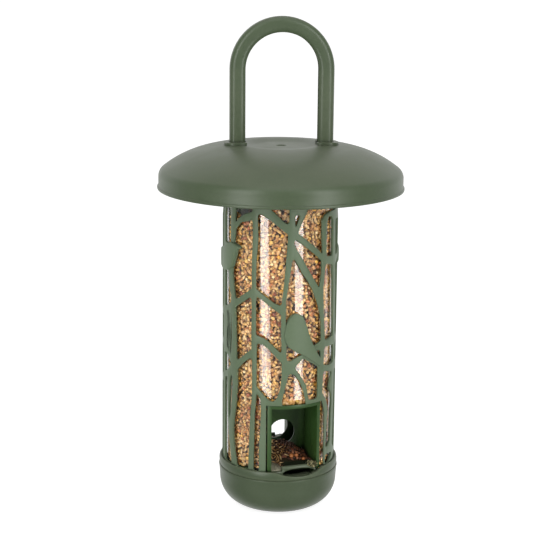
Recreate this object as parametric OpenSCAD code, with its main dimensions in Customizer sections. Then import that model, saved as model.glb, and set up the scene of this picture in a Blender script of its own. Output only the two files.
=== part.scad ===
// Seed bird feeder: a clear seed tube inside a trellis of branches and birds,
// with two open feeding bays, a twist-off base bowl and a domed lid that
// slides up the legs of the carrying handle for filling.
// Millimetres, +Z up, origin in the middle of the flat foot under the bowl.
// Angles round the feeder count from the front bay (-Y) towards +X.

/* [Base bowl] */
// How far the bowl's rim stands out beyond the base ring
bowl_out = 0.3; // [0:0.1:0.6]
// Height of the bowl from its flat foot to the seam under the base ring
bowl_h = 34; // [32:0.5:38]
// Rounding between the bowl's side and the flat foot that the feeder stands on
bowl_round = 23; // [21:0.1:25]
// Wall of the bowl
bowl_wall = 2.2; // [1.6:0.1:2.4]
// Number of drain holes in the foot
drain_count = 5; // [3:1:8]
// Radius of one drain hole in the foot
drain_r = 1.8; // [1:0.1:2.4]

/* [Bayonet] */
// Number of bayonet lugs on the ring and in the bowl
lug_count = 4; // [3:1:4]
// Width of one lug, in degrees
lug_deg = 24; // [18:1:26]
// Thickness of one lug
lug_h = 2.6; // [2:0.1:3]
// Depth of the ring's skirt inside the bowl
skirt_h = 11.5; // [10.5:0.1:13]

/* [Base ring] */
// How far the ring stands out beyond the trellis
ring_out = 2.5; // [2.2:0.1:3.5]
// Height of the ring above the seam
ring_h = 7.2; // [6.6:0.1:9]
// Thickness of the ring's floor
ring_floor = 2.5; // [2:0.1:3]
// Depth of the dip in the ring's lip in front of each bay
lip_dip = 4.3; // [3:0.1:4.5]
// Half the width of the dip
dip_half = 21; // [19:0.5:24]
// Width of the perch bar, front to back
perch_w = 3.8; // [3:0.1:4.5]
// Height of the perch bar above the tray
perch_h = 5; // [3:0.1:6]
// Thickness of the perch bar's overhanging edge
perch_edge = 2.3; // [2:0.1:2.6]
// How far that edge overhangs the slot in front of the bar
perch_over = 2.4; // [1.5:0.1:2.6]
// Distance of the perch bar's front inside the outer face of the trellis
perch_in = 4; // [3.2:0.1:5]
// Half the length of the perch bar
perch_half = 14.5; // [10:0.5:15]
// Shift of the perch bar along the bay
perch_x = 4; // [0:0.5:4]

/* [Seed tube] */
// Outer radius of the clear tube
tube_r = 44.2; // [43.8:0.1:44.4]
// Wall of the clear tube
tube_wall = 1.5; // [1:0.1:1.8]
// Length of the clear tube
tube_len = 229.5; // [215:0.5:245]

/* [Feeding bays] */
// Half the clear width of a bay
bay_half = 19.5; // [17:0.1:19.6]
// Wall of a bay
bay_wall = 1.6; // [1.2:0.1:1.8]
// Clear height of a bay above the tray
bay_clear = 54.9; // [50:0.1:56]
// Distance of a bay's back wall from the axis
bay_back_y = 9.7; // [7:0.1:14]
// Width of the rim round the mouth of a bay, beyond the clear opening
rim_w = 3.1; // [2.4:0.1:3.4]
// Radius of the round feed hole in the back wall
feed_r = 11; // [8:0.5:13]
// Height of the feed hole's centre above the tray
feed_z = 23.2; // [18:0.1:28]
// Rise of the baffle roof over the bays
baffle_rise = 11; // [8:0.5:16]
// Half the length of the baffle roof, front to back
baffle_half = 27; // [20:0.5:32]

/* [Tray] */
// Thickness of the floor tray
tray_t = 3; // [2:0.1:3.5]
// Radius of a drain hole in the tray
tray_hole_r = 1.5; // [1:0.1:2]

/* [Trellis] */
// How far the trellis stands out from the tube
cage_out = 2.8; // [2.6:0.1:2.9]
// Thickness of the branches, inside to outside
cage_wall = 2; // [1.6:0.1:2.1]
// Width added to every branch
branch_extra = 0; // [-0.8:0.1:0.8]
// Rounding where branches meet
fork_r = 2.6; // [0.5:0.1:3.5]
// How far the birds stand proud of the branches
bird_proud = 1.5; // [0.5:0.1:2.2]
// Height of the hoop at the top of the trellis
top_hoop_h = 4; // [3:0.5:6]
// Height of the hoop at the bottom of the trellis
bottom_hoop_h = 4; // [3:0.5:5]
// Clearance on each side between the rim of a bay and the branches
port_gap = 2.65; // [1.5:0.05:3]
// Middle of that opening, in degrees from the bay's middle
port_mid = 2; // [0:0.5:3]
// Turn of the parting line of the two halves, in degrees
split_turn = -2; // [-3:0.5:0]
// How far the top of the trellis draws in to enter the lid
top_draw = 1; // [0.4:0.1:1.2]
// Height over which it draws in
draw_h = 13; // [8:0.5:16]
// Height above that, up to the end of the tube
draw_above = 7; // [4:0.5:10]
// Rounding of the birds' outlines
bird_round = 5; // [3:0.5:6]

/* [Lid] */
// Radius of the lid at its lip
lid_r = 100; // [90:0.5:115]
// Height of the lid's straight skirt
lid_skirt = 10.1; // [8:0.1:14]
// Rounding between the skirt and the dome
lid_round = 8; // [5:0.5:10]
// Rise of the dome above the rounding
dome_rise = 20; // [14:0.1:24]
// Fullness of the dome, from pointed to square-shouldered
dome_power = 3.8; // [2.8:0.1:4.5]
// Depth of the dish in the middle of the dome
dish_depth = 1.9; // [0.4:0.1:2.4]
// Radius of the dish
dish_r = 36; // [24:0.5:44]
// Wall of the lid
lid_wall = 2.2; // [1.6:0.1:2.6]
// Height of the raised collars round the handle's legs
collar_h = 2.2; // [1.5:0.1:4]
// Width of the raised collars
collar_w = 4; // [3:0.1:5]
// How far the lid's lip lies above the end of the tube
lip_above_tube = 2; // [-4:0.5:5]

/* [Handle] */
// Clearance between the legs of the handle and the tube's inner wall
leg_gap = 0.8; // [0.8:0.1:2.6]
// Width of the bar, seen from the front
bar_w = 13.2; // [11:0.1:13.2]
// Thickness of the bar, front to back
bar_t = 13; // [11:0.1:13.2]
// Rounding of the bar's edges
bar_round = 4.8; // [3:0.1:5]
// Wall of the bar round its channel
bar_wall = 2.4; // [1.8:0.1:3]
// Height of the legs from the tube's end up to the arch
leg_h = 97.4; // [80:0.1:120]
// Depth of the legs' feet below the tube's end
foot_drop = 24; // [20:0.5:28]
// Turn of the handle from the line across the bays, in degrees
handle_turn = -13; // [-16:1:16]
// Radius of the cross pins
pin_r = 2; // [1.5:0.1:2.4]

/* [Top ring] */
// Thickness of the top ring's flange
flange_t = 2.2; // [1.6:0.1:3]
// Depth of the spigot inside the tube
spigot_h = 6; // [5:0.5:8]
// Wall of the spigot
spigot_wall = 1.4; // [1:0.1:1.8]
// Wall of the leg pockets
pocket_wall = 2.2; // [1.6:0.1:2.6]

/* [Screws] */
// Radius of the screw's shank
screw_r = 1.3; // [1:0.1:1.6]
// Radius of the screw's head
screw_head_r = 2.8; // [2.2:0.1:3.2]
// Length of the screw below its head
screw_len = 14; // [11:0.5:15]
// Distance of the screws inside the outer face of the tube
screw_in = 5.7; // [5.2:0.1:5.7]

/* [Clearances] */
// Clearance between pieces that move on each other
run_gap = 0.35; // [0.25:0.05:0.5]
// Clearance between pieces that are fixed together
fit_gap = 0.1; // [0.05:0.05:0.2]

/* [Hidden] */
$fn = 96;

// Heights of the stack, from the foot up
seam_z = bowl_h;
skirt_z = seam_z - skirt_h;
boss_z = skirt_z + 1.5;
ring_lug_z = skirt_z + 0.8;
bowl_lug_z = ring_lug_z + lug_h + run_gap;
seat_z = seam_z + ring_floor;
ring_top = seam_z + ring_h;
sill_z = ring_top - 0.4;
tray_top = seat_z + tray_t;
bay_top = tray_top + bay_clear;
rim_top = bay_top + rim_w;
tube_top = seat_z + tube_len;
foot_z = tube_top - foot_drop;
pin_z = foot_z + 8;
flange_top = tube_top + flange_t;
lip_z = tube_top + lip_above_tube;
arch_z = tube_top + leg_h;

// Radii
cage_r = tube_r + cage_out;
ring_r = cage_r + ring_out;
bowl_r = ring_r + bowl_out;
foot_r = bowl_r - 0.9 - bowl_round;
screw_ring_r = tube_r - screw_in;
bowl_in = bowl_r - bowl_wall;
skirt_out = bowl_in - 2.8;
skirt_in = skirt_out - 2.2;
ledge_in = screw_ring_r - 3.5;
lug_out = bowl_in - 1.4;
tube_in = tube_r - tube_wall;
cage_in = cage_r - cage_wall;
lip_in = cage_r + 0.3;
rim_half = bay_half + rim_w;
rim_out = tube_r + 1.6;
port_deg = 2 * asin((rim_half + port_gap) / cage_r);
perch_y = cage_r - perch_in;
arch_r = tube_in - leg_gap - bar_w / 2;
slot_half = perch_half;
collar_in = cage_r - top_draw + 0.5;
skirt_r = lid_r - 1;
slack = 0.01;

// The lid's shoulder, where the dome runs into the rounding without a crease
function lean_at(r) = atan(dome_rise * dome_power / r);
shoulder_lean = lean_at(skirt_r - lid_round * (1 - sin(lean_at(skirt_r - lid_round))));
shoulder_r = skirt_r - lid_round * (1 - sin(shoulder_lean));
shoulder_z = lip_z + lid_skirt + lid_round * cos(shoulder_lean);
dome_top = shoulder_z + dome_rise;

// A ring of rectangular section between two radii and two heights
module hoop(r_in, r_out, z0, z1) {
    translate([0, 0, z0])
        difference() {
            cylinder(r = r_out, h = z1 - z0);
            translate([0, 0, -1]) cylinder(r = r_in, h = z1 - z0 + 2);
        }
}

// A piece of a ring, centred on an angle round the feeder
module hoop_sector(r_in, r_out, z0, z1, middle, wide) {
    rotate([0, 0, middle - 90 - wide / 2])
        rotate_extrude(angle = wide)
            translate([r_in, z0]) square([r_out - r_in, z1 - z0]);
}

// A block that is centred in X and runs between two values of Y and of Z
module block(half_x, y0, y1, z0, z1) {
    translate([-half_x, y0, z0]) cube([2 * half_x, y1 - y0, z1 - z0]);
}

// Base bowl

function bowl_side(r_top, floor_z) =
    let (corner = r_top - 0.9 - foot_r)
    [for (a = [0:6:90]) [foot_r + corner * cos(a), floor_z + corner - corner * sin(a)]];

module bowl_shell() {
    difference() {
        rotate_extrude()
            polygon(concat([[0, seam_z], [bowl_r - 0.6, seam_z], [bowl_r, seam_z - 0.7]],
                           bowl_side(bowl_r, 0), [[0, 0]]));
        rotate_extrude()
            polygon(concat([[0, seam_z + 1], [bowl_in, seam_z + 1], [bowl_in, seam_z]],
                           bowl_side(bowl_in, bowl_wall), [[0, bowl_wall]]));
    }
}

module base_bowl() {
    color("darkolivegreen")
        difference() {
            union() {
                bowl_shell();
                for (i = [0:lug_count - 1])
                    hoop_sector(skirt_out + run_gap, bowl_in + 0.9, bowl_lug_z,
                                bowl_lug_z + lug_h, i * 360 / lug_count, lug_deg);
            }
            for (i = [0:drain_count - 1])
                rotate([0, 0, i * 360 / drain_count])
                    translate([0, foot_r * 0.55, -1]) cylinder(r = drain_r, h = bowl_wall + 2);
        }
}

// Base ring

module ring_profile() {
    lip_w = ring_r - lip_in;
    polygon([[skirt_in, skirt_z], [skirt_out, skirt_z], [skirt_out, seam_z],
             [ring_r - 0.5, seam_z], [ring_r - 0.1, seam_z + 1.4],
             [ring_r, ring_top - 2.4], [ring_r - 0.3, ring_top - 0.9],
             [ring_r - 0.35 * lip_w, ring_top - 0.15], [ring_r - 0.6 * lip_w, ring_top],
             [lip_in + 0.2, ring_top - 0.2], [lip_in, ring_top - 0.7], [lip_in, seat_z],
             [ledge_in, seat_z], [ledge_in, seam_z], [skirt_in, seam_z]]);
}

// The sill that fills the ring under one bay
module sill() {
    intersection() {
        hoop(tube_in, lip_in + slack, seam_z, ring_top);
        union() {
            block(bay_half - fit_gap, -lip_in - 1, 0, seam_z, tray_top);
            intersection() {
                hoop_sector(rim_out + fit_gap, lip_in + 1, seam_z, sill_z,
                            port_mid, port_deg - 0.4);
                cylinder(r = lip_in + slack, h = ring_top);
            }
            block(bay_half - fit_gap, -lip_in - 1, perch_w - perch_y, seam_z, sill_z);
        }
    }
}

module perch_bar() {
    bar_mid = perch_y - perch_w / 2;
    round_z = tray_top + perch_h - perch_w / 2;
    intersection() {
        cylinder(r = lip_in - 0.5, h = ring_top + perch_h);
        translate([perch_x, 0, 0])
            union() {
                block(perch_half, -perch_y, perch_w - perch_y, tray_top, round_z);
                translate([-perch_half, -bar_mid, round_z])
                    rotate([0, 90, 0]) cylinder(d = perch_w, h = 2 * perch_half);
            }
    }
}

// The crescent through the ring between the perch bar and the lip
module crescent() {
    intersection() {
        translate([0, 0, seam_z - 1]) cylinder(r = lip_in, h = ring_h + 2);
        translate([perch_x, 0, 0])
            block(slot_half, -lip_in - 1, -perch_y - slack, seam_z - 1, ring_top + 1);
    }
}

// The space under the perch bar's overhanging edge, open to the crescent
module perch_recess() {
    translate([perch_x, 0, 0])
        block(slot_half - 2, -lip_in, perch_over - perch_y, seam_z - 1,
              tray_top + perch_h - perch_edge);
}

// The shallow trough that lowers the lip in front of a bay
module lip_trough() {
    trough_r = (pow(dip_half, 2) + pow(lip_dip, 2)) / (2 * lip_dip);
    translate([perch_x, -perch_y - 0.5, ring_top - lip_dip + trough_r])
        rotate([90, 0, 0]) cylinder(r = trough_r, h = ring_r, $fn = 200);
}

module screw_places() {
    for (a = [45:90:315])
        rotate([0, 0, a]) translate([screw_ring_r, 0, 0]) children();
}

module base_ring() {
    color("darkolivegreen")
        difference() {
            union() {
                rotate_extrude() ring_profile();
                for (side = [0, 180])
                    rotate([0, 0, side]) {
                        sill();
                        perch_bar();
                    }
                screw_places() translate([0, 0, boss_z]) cylinder(r = 3.4, h = seat_z - boss_z);
                for (i = [0:lug_count - 1]) {
                    hoop_sector(skirt_out - 1, lug_out, ring_lug_z, ring_lug_z + lug_h,
                                i * 360 / lug_count, lug_deg);
                    hoop_sector(skirt_out - 1, lug_out, ring_lug_z, bowl_lug_z + lug_h,
                                i * 360 / lug_count - lug_deg / 2 - 1.5, 2);
                }
            }
            for (side = [0, 180])
                rotate([0, 0, side]) {
                    crescent();
                    perch_recess();
                    lip_trough();
                }
            screw_places()
                translate([0, 0, boss_z - 1])
                    cylinder(r = screw_r + fit_gap, h = seat_z - boss_z + 2);
        }
}

// Floor tray and its screws

module floor_tray() {
    color("darkolivegreen")
        difference() {
            translate([0, 0, seat_z]) cylinder(r = tube_in - fit_gap, h = tray_t);
            screw_places()
                translate([0, 0, seat_z - 1]) cylinder(r = screw_r + fit_gap, h = tray_t + 2);
            for (x = [-1, 0, 1], y = [-0.7, -0.42, 0, 0.42, 0.7])
                translate([x * 0.6 * bay_half, y * tube_in, seat_z - 1])
                    cylinder(r = tray_hole_r, h = tray_t + 2);
            for (side = [0, 180])
                rotate([0, 0, side]) perch_recess();
        }
}

module tray_screws() {
    color("silver")
        screw_places()
            difference() {
                union() {
                    translate([0, 0, tray_top - screw_len])
                        cylinder(r = screw_r, h = screw_len);
                    translate([0, 0, tray_top]) cylinder(r = screw_head_r, h = 1.8);
                }
                for (a = [0, 90])
                    translate([0, 0, tray_top + 1.3])
                        rotate([0, 0, a]) cube([3.2, 0.7, 2], center = true);
            }
}

// Feeding bays

module bay() {
    wall_half = bay_half + bay_wall;
    difference() {
        union() {
            intersection() {
                translate([0, 0, tray_top]) cylinder(r = tube_r + 0.4, h = bay_clear + bay_wall);
                block(wall_half, -tube_r - 1, bay_wall - bay_back_y, tray_top,
                      bay_top + bay_wall);
            }
            intersection() {
                hoop(tube_r + fit_gap, rim_out, seat_z, rim_top);
                block(rim_half, -cage_r, 0, seat_z, rim_top);
            }
        }
        block(bay_half, -cage_r, -bay_back_y, seat_z - 1, bay_top);
        translate([0, 0, tray_top + feed_z])
            rotate([90, 0, 0]) cylinder(r = feed_r, h = bay_back_y + 3);
    }
}

module front_bay() {
    color("green") bay();
}

module rear_bay() {
    color("green") rotate([0, 0, 180]) bay();
}

// The gabled roof that sheds seed off the bays into the channels beside them
module seed_baffle() {
    half = bay_half + bay_wall;
    base_z = bay_top + bay_wall;
    color("green")
        difference() {
            translate([0, baffle_half, base_z])
                rotate([90, 0, 0])
                    linear_extrude(2 * baffle_half)
                        polygon([[-half, 0], [half, 0], [half, 1], [0, baffle_rise], [-half, 1]]);
            translate([0, baffle_half - bay_wall, base_z - 1])
                rotate([90, 0, 0])
                    linear_extrude(2 * (baffle_half - bay_wall))
                        polygon([[2 * bay_wall - half, 0], [half - 2 * bay_wall, 0],
                                 [half - 2 * bay_wall, 1.4], [0, baffle_rise - 0.6],
                                 [2 * bay_wall - half, 1.4]]);
        }
}

// Seed tube

module seed_tube() {
    notch_half = bay_half + bay_wall + fit_gap;
    color("aliceblue")
        difference() {
            hoop(tube_in, tube_r, seat_z, tube_top);
            block(notch_half, -tube_r - 1, tube_r + 1, seat_z - 1,
                  bay_top + bay_wall + fit_gap);
        }
}

// Trellis: panes between the branches, as [angle, height above the seat]

panes = [
    [[-89, 226], [-76, 226], [-76, 190], [-89, 190]],
    [[-89, 171], [-82, 171], [-79, 157], [-75, 145], [-76, 141], [-89, 136]],
    [[-89, 131], [-75, 136], [-74, 114], [-75, 98], [-80, 101], [-89, 104]],
    [[-89, 99], [-80, 96], [-75, 90], [-82, 84], [-89, 81]],
    [[-77, 77], [-74, 82], [-72, 74], [-74, 58], [-77, 42], [-79, 50]],
    [[-89, 76], [-83, 78], [-82, 50], [-80, 36], [-78, 24], [-73, 4], [-89, 4]],
    [[-69, 226], [-48, 226], [-47, 219], [-57, 216], [-64, 212], [-68, 208]],
    [[-68, 203], [-61, 209], [-52, 211], [-47, 213], [-46, 204], [-47, 178], [-47, 157],
     [-57, 151], [-68, 145], [-71, 156], [-73, 166], [-70, 193]],
    [[-47, 151], [-57, 145], [-68, 139], [-67, 114], [-66, 94], [-57, 100], [-47, 107]],
    [[-46, 101], [-57, 94], [-65, 87], [-65, 74], [-67, 56], [-71, 38], [-70, 24],
     [-65, 4], [-50, 4], [-48, 50], [-46, 69]],
    [[-33, 226], [-10, 226], [-10, 208], [-24, 219]],
    [[-41, 219], [-28, 213], [-11, 202], [-12, 190], [-13, 177], [-15, 157], [-17, 144],
     [-23, 146], [-30, 150], [-42, 157], [-42, 178], [-40, 197]],
    [[-42, 152], [-30, 145], [-17, 137], [-17, 124], [-16, 104], [-24, 111], [-33, 117],
     [-42, 119]],
    [[-41, 113], [-33, 111], [-25, 105], [-16, 97], [-16, 85], [-17, 76], [-20, 68],
     [-24, 64], [-29, 66], [-35, 71], [-41, 76], [-41, 86]],
    [[-41, 71], [-37, 66], [-36, 58], [-37, 41], [-38, 23], [-38, 4], [-44, 4], [-43, 51]],
    [[-4, 217], [1, 217], [-4, 206]],
    [[13, 226], [8, 218], [4, 212], [-1, 203], [8, 197], [22, 188], [28, 183], [28, 190],
     [27, 211], [31, 215], [41, 217], [54, 217], [56, 226]],
    [[34, 208], [37, 213], [43, 213], [45, 209], [46, 180], [34, 181]],
    [[33, 175], [46, 173], [48, 158], [49, 140], [51, 113], [34, 111], [32, 129], [31, 141],
     [30, 155], [32, 168]],
    [[33, 106], [52, 105], [53, 90], [43, 89], [32, 91]],
    [[32, 86], [50, 82], [45, 74], [43, 69], [49, 63], [50, 56], [48, 46], [47, 23], [42, 19],
     [38, 19], [40, 42], [41, 50], [38, 61], [31, 67]],
    [[37, 5], [38, 13], [51, 12], [52, 9], [44, 4]],
    [[-4, 198], [6, 192], [20, 183], [27, 178], [27, 168], [24, 156], [21, 160], [15, 167],
     [9, 175], [4, 182], [-5, 194]],
    [[-6, 185], [4, 170], [8, 166], [15, 157], [21, 146], [25, 137], [27, 129], [28, 112],
     [17, 109], [6, 104], [-8, 98], [-11, 100], [-11, 112], [-12, 130], [-12, 148],
     [-8, 170]],
    [[19, 104], [27, 105], [27, 96]],
    [[6, 100], [24, 91], [24, 64], [13, 64], [10, 77], [5, 84], [-3, 93], [5, 99]],
    [[-9, 88], [-3, 87], [3, 80], [7, 72], [9, 65], [10, 58], [-14, 58], [-15, 65],
     [-12, 76], [-10, 83]],
    [[52, 209], [64, 209], [67, 200], [66, 184], [54, 178]],
    [[54, 172], [66, 178], [67, 150], [68, 125], [66, 112], [57, 112], [56, 130], [55, 155]],
    [[58, 106], [67, 106], [68, 92], [58, 89]],
    [[57, 83], [67, 81], [68, 60], [66, 40], [67, 20], [60, 14], [54, 18], [55, 40],
     [56, 56]],
    [[58, 8], [66, 14], [66, 4], [56, 4]],
    [[74, 226], [85, 226], [85, 174], [74, 170]],
    [[74, 164], [85, 168], [85, 135], [74, 131]],
    [[74, 126], [85, 130], [85, 107], [74, 110]],
    [[74, 104], [85, 102], [85, 79], [74, 74]],
    [[74, 68], [85, 73], [85, 4], [74, 4]]
];

// The opening in the trellis in front of a bay
port_left = port_mid - port_deg / 2;
port_right = port_mid + port_deg / 2;
port = [[port_left, -2], [port_left, 61], [port_right - 4.5, 61], [port_right - 2.5, 57],
        [port_right, 50], [port_right, -2]];

// The birds, one that looks left and one on the next branch that looks right
birds = [
    [[-1, 138], [-6, 137], [-10, 133], [-12, 128], [-14, 120], [-12, 114], [-9, 110],
     [-2, 106], [6, 103], [27, 91], [29, 95], [18, 108], [13, 117], [8, 129], [4, 136]],
    [[-80, 190], [-74, 192], [-67, 191], [-60, 189], [-66, 186], [-68, 181], [-72, 172],
     [-78, 168], [-90, 167], [-103, 169], [-105, 176], [-103, 183], [-91, 186]]
];

// Heights in the lists follow the bays below the lintel and the tube above it
function lattice_z(h) =
    h < 61 ? seat_z + h * (rim_top - seat_z) / 61
           : rim_top + (h - 61) * (tube_top - rim_top) / 168.5;

function held(z) = min(max(z, seat_z + bottom_hoop_h), tube_top - top_hoop_h);

function middle_of(cell) =
    (min([for (q = cell) q[0]]) + max([for (q = cell) q[0]])) / 2;

// A cell of a list laid out on the plane that touches the trellis at its middle
function laid_out(cell) =
    let (m = middle_of(cell)) [for (q = cell) [cage_r * sin(q[0] - m), lattice_z(q[1])]];

function clipped(cell) = [for (p = cell) [p[0], held(p[1])]];

function unit(v) = v / norm(v);

// 1 for an outline that runs anticlockwise, -1 for one that runs clockwise
function winding(p) =
    let (n = len(p), parts = [for (i = [0:n - 1]) cross(p[i], p[(i + 1) % n])])
    sign(parts * [for (x = parts) 1]);

// An outline moved in by a distance on every side
function inset(p, d) =
    [for (i = [0:len(p) - 1])
        let (n = len(p), u = unit(p[i] - p[(i + n - 1) % n]), v = unit(p[(i + 1) % n] - p[i]),
             m = winding(p) * [-u[1] - v[1], u[0] + v[0]])
        p[i] + m * 2 * d / (m * m)];

// An outline with its corners rounded
function rounded(p, r) =
    [for (i = [0:len(p) - 1])
        let (n = len(p), a = p[(i + n - 1) % n], b = p[i], c = p[(i + 1) % n],
             turn = acos(max(-1, min(1, unit(b - a) * unit(c - b)))),
             k = min(r * tan(min(turn, 150) / 2), 0.46 * norm(a - b), 0.46 * norm(c - b)),
             s = b + unit(a - b) * k, e = b + unit(c - b) * k)
        each turn < 18 ? [b]
                       : [for (t = [0:0.25:1])
                             s * (1 - t) * (1 - t) + b * 2 * t * (1 - t) + e * t * t]];

// A cell on the other side of the feeder
function half_turned(cell) = [for (q = cell) [q[0] + 180, q[1]]];

// A block that stands through the trellis where a cell is
module through(cell, outline) {
    rotate([0, 0, middle_of(cell)])
        translate([0, -0.65 * cage_r, 0])
            rotate([90, 0, 0]) linear_extrude(0.55 * cage_r) polygon(outline);
}

module half_shell(r_in, r_out) {
    drawn_z = tube_top - draw_above;
    draw_z = drawn_z - draw_h;
    rotate([0, 0, split_turn - 180])
        rotate_extrude(angle = 180)
            polygon([[r_in, seat_z], [r_out, seat_z], [r_out, draw_z],
                     [r_out - top_draw, drawn_z], [r_out - top_draw, tube_top],
                     [tube_r + 0.2, tube_top], [tube_r + 0.2, drawn_z], [r_in, draw_z]]);
}

module trellis_half() {
    difference() {
        half_shell(cage_in, cage_r);
        for (cell = panes)
            through(cell, rounded(inset(clipped(laid_out(cell)), branch_extra / 2), fork_r));
        through(port, laid_out(port));
    }
    for (cell = [birds[0], birds[1], half_turned(birds[1])])
        intersection() {
            half_shell(cage_in, cage_r + bird_proud);
            through(cell, rounded(laid_out(cell), bird_round));
        }
}

module front_trellis() {
    color("darkseagreen") trellis_half();
}

module rear_trellis() {
    color("darkseagreen") rotate([0, 0, 180]) trellis_half();
}

// The section of the handle's bar, grown by a distance on every side
module bar_outline(grow) {
    r = bar_round + grow;
    w = bar_w + 2 * grow;
    t = bar_t + 2 * grow;
    square([w - 2 * r, t], center = true);
    square([w, t - 2 * r], center = true);
    for (x = [-1, 1], y = [-1, 1])
        translate([x * (w / 2 - r), y * (t / 2 - r)]) circle(r = r);
}

module bar_section() {
    difference() {
        bar_outline(0);
        translate([-bar_wall - 2, 0]) square([bar_w, bar_t - 2 * bar_wall], center = true);
    }
}

// Upright prisms at the two legs, seen from outside with +X away from the axis
module at_legs() {
    for (side = [0, 180])
        rotate([0, 0, handle_turn + side]) translate([arch_r, 0, 0]) children();
}

module handle() {
    color("darkolivegreen")
        difference() {
            union() {
                at_legs()
                    translate([0, 0, foot_z]) linear_extrude(arch_z - foot_z) bar_section();
                rotate([0, 0, handle_turn])
                    translate([0, 0, arch_z])
                        rotate([90, 0, 0])
                            rotate_extrude(angle = 180) translate([arch_r, 0]) bar_section();
            }
            at_legs()
                translate([0, 0, pin_z])
                    rotate([90, 0, 0])
                        cylinder(r = pin_r + fit_gap, h = 2 * bar_t, center = true);
        }
}

module pin() {
    half = bar_t / 2 + fit_gap + pocket_wall;
    rotate([90, 0, 0]) cylinder(r = pin_r, h = 2 * half, center = true);
    translate([0, -half, 0]) rotate([90, 0, 0]) cylinder(r = pin_r + 1, h = 1.4);
}

module left_pin() {
    color("silver")
        rotate([0, 0, handle_turn + 180]) translate([arch_r, 0, pin_z]) pin();
}

module right_pin() {
    color("silver") rotate([0, 0, handle_turn]) translate([arch_r, 0, pin_z]) pin();
}

// Top ring with the pockets that hold the legs

module pocket_outline(grow) {
    square([bar_w + 2 * grow, bar_t + 2 * grow], center = true);
}

module top_ring() {
    spigot_r = tube_in - fit_gap;
    pocket_top = flange_top - 0.6;
    color("darkolivegreen")
        difference() {
            union() {
                hoop(spigot_r - spigot_wall, cage_r - top_draw, tube_top, flange_top);
                hoop(spigot_r - spigot_wall, spigot_r, tube_top - spigot_h, tube_top + slack);
                intersection() {
                    cylinder(r = spigot_r - 2 * fit_gap, h = pocket_top);
                    at_legs()
                        translate([0, 0, foot_z - pocket_wall])
                            linear_extrude(flange_top - foot_z + pocket_wall)
                                pocket_outline(fit_gap + pocket_wall);
                }
            }
            at_legs() {
                translate([0, 0, foot_z])
                    linear_extrude(arch_z - foot_z) bar_outline(fit_gap);
                translate([0, (bar_round - bar_t) / 2, foot_z])
                    cube([bar_w, bar_t - bar_round, tube_top - foot_z]);
                translate([0, 0, pin_z])
                    rotate([90, 0, 0])
                        cylinder(r = pin_r + fit_gap, h = 2 * bar_t, center = true);
            }
        }
}

// Lid

function dome_z(r) =
    let (t = min(max(r / dish_r - 0.55, 0) / 0.45, 1))
    shoulder_z + dome_rise * (1 - pow(r / shoulder_r, dome_power))
        - dish_depth * (1 + cos(180 * t)) / 2;

function dome_lean(r) =
    atan(dome_rise * dome_power / shoulder_r * pow(r / shoulder_r, dome_power - 1));

// The lid's outline, a wall's thickness inside its outer face
function lid_outline(wall, base) =
    let (corner = lid_round - wall)
    concat([[0, base], [skirt_r - wall, base]],
           [for (i = [0:6]) let (a = i * (90 - shoulder_lean) / 6)
               [skirt_r - lid_round + corner * cos(a), lip_z + lid_skirt + corner * sin(a)]],
           [for (i = [1:24]) let (r = shoulder_r * (1 - i / 24), lean = dome_lean(r))
               [r - wall * sin(lean), dome_z(r) - wall * cos(lean)]]);

// The solid dome under the lid's outer face, raised by a distance
module dome_solid(raise) {
    translate([0, 0, raise]) rotate_extrude() polygon(lid_outline(0, lip_z - 8));
}

module lid_shell() {
    difference() {
        union() {
            rotate_extrude() polygon(lid_outline(0, lip_z));
            rotate_extrude()
                polygon([[skirt_r - 1, lip_z], [lid_r - 0.3, lip_z], [lid_r, lip_z + 0.4],
                         [lid_r, lip_z + 1.8], [lid_r - 0.4, lip_z + 2.3],
                         [skirt_r - 1, lip_z + 2.3]]);
        }
        rotate_extrude() polygon(lid_outline(lid_wall, lip_z - 1));
    }
}

module collar_outline() {
    grow = run_gap + collar_w;
    intersection() {
        bar_outline(grow);
        translate([-bar_w / 2 - run_gap, -bar_t]) square(2 * bar_t);
    }
}

module lid() {
    color("darkolivegreen")
        difference() {
            union() {
                lid_shell();
                intersection() {
                    dome_solid(0);
                    union() {
                        at_legs()
                            translate([0, 0, flange_top])
                                linear_extrude(arch_z - flange_top) bar_outline(run_gap + 2);
                        hoop(collar_in, collar_in + lid_wall, lip_z - 6.5, dome_top + 5);
                    }
                }
                intersection() {
                    dome_solid(collar_h);
                    at_legs()
                        translate([0, 0, shoulder_z])
                            linear_extrude(arch_z - shoulder_z) collar_outline();
                }
            }
            at_legs()
                translate([0, 0, foot_z]) linear_extrude(arch_z - foot_z) bar_outline(run_gap);
            translate([0, 0, dome_z(0) - 0.8]) cylinder(r = 4, h = 5);
        }
}

base_bowl();
base_ring();
floor_tray();
tray_screws();
front_bay();
rear_bay();
seed_baffle();
seed_tube();
front_trellis();
rear_trellis();
top_ring();
handle();
left_pin();
right_pin();
lid();
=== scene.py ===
import math
import random

import bpy
import numpy as np
from mathutils import Matrix, Quaternion, Vector, noise


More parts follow.
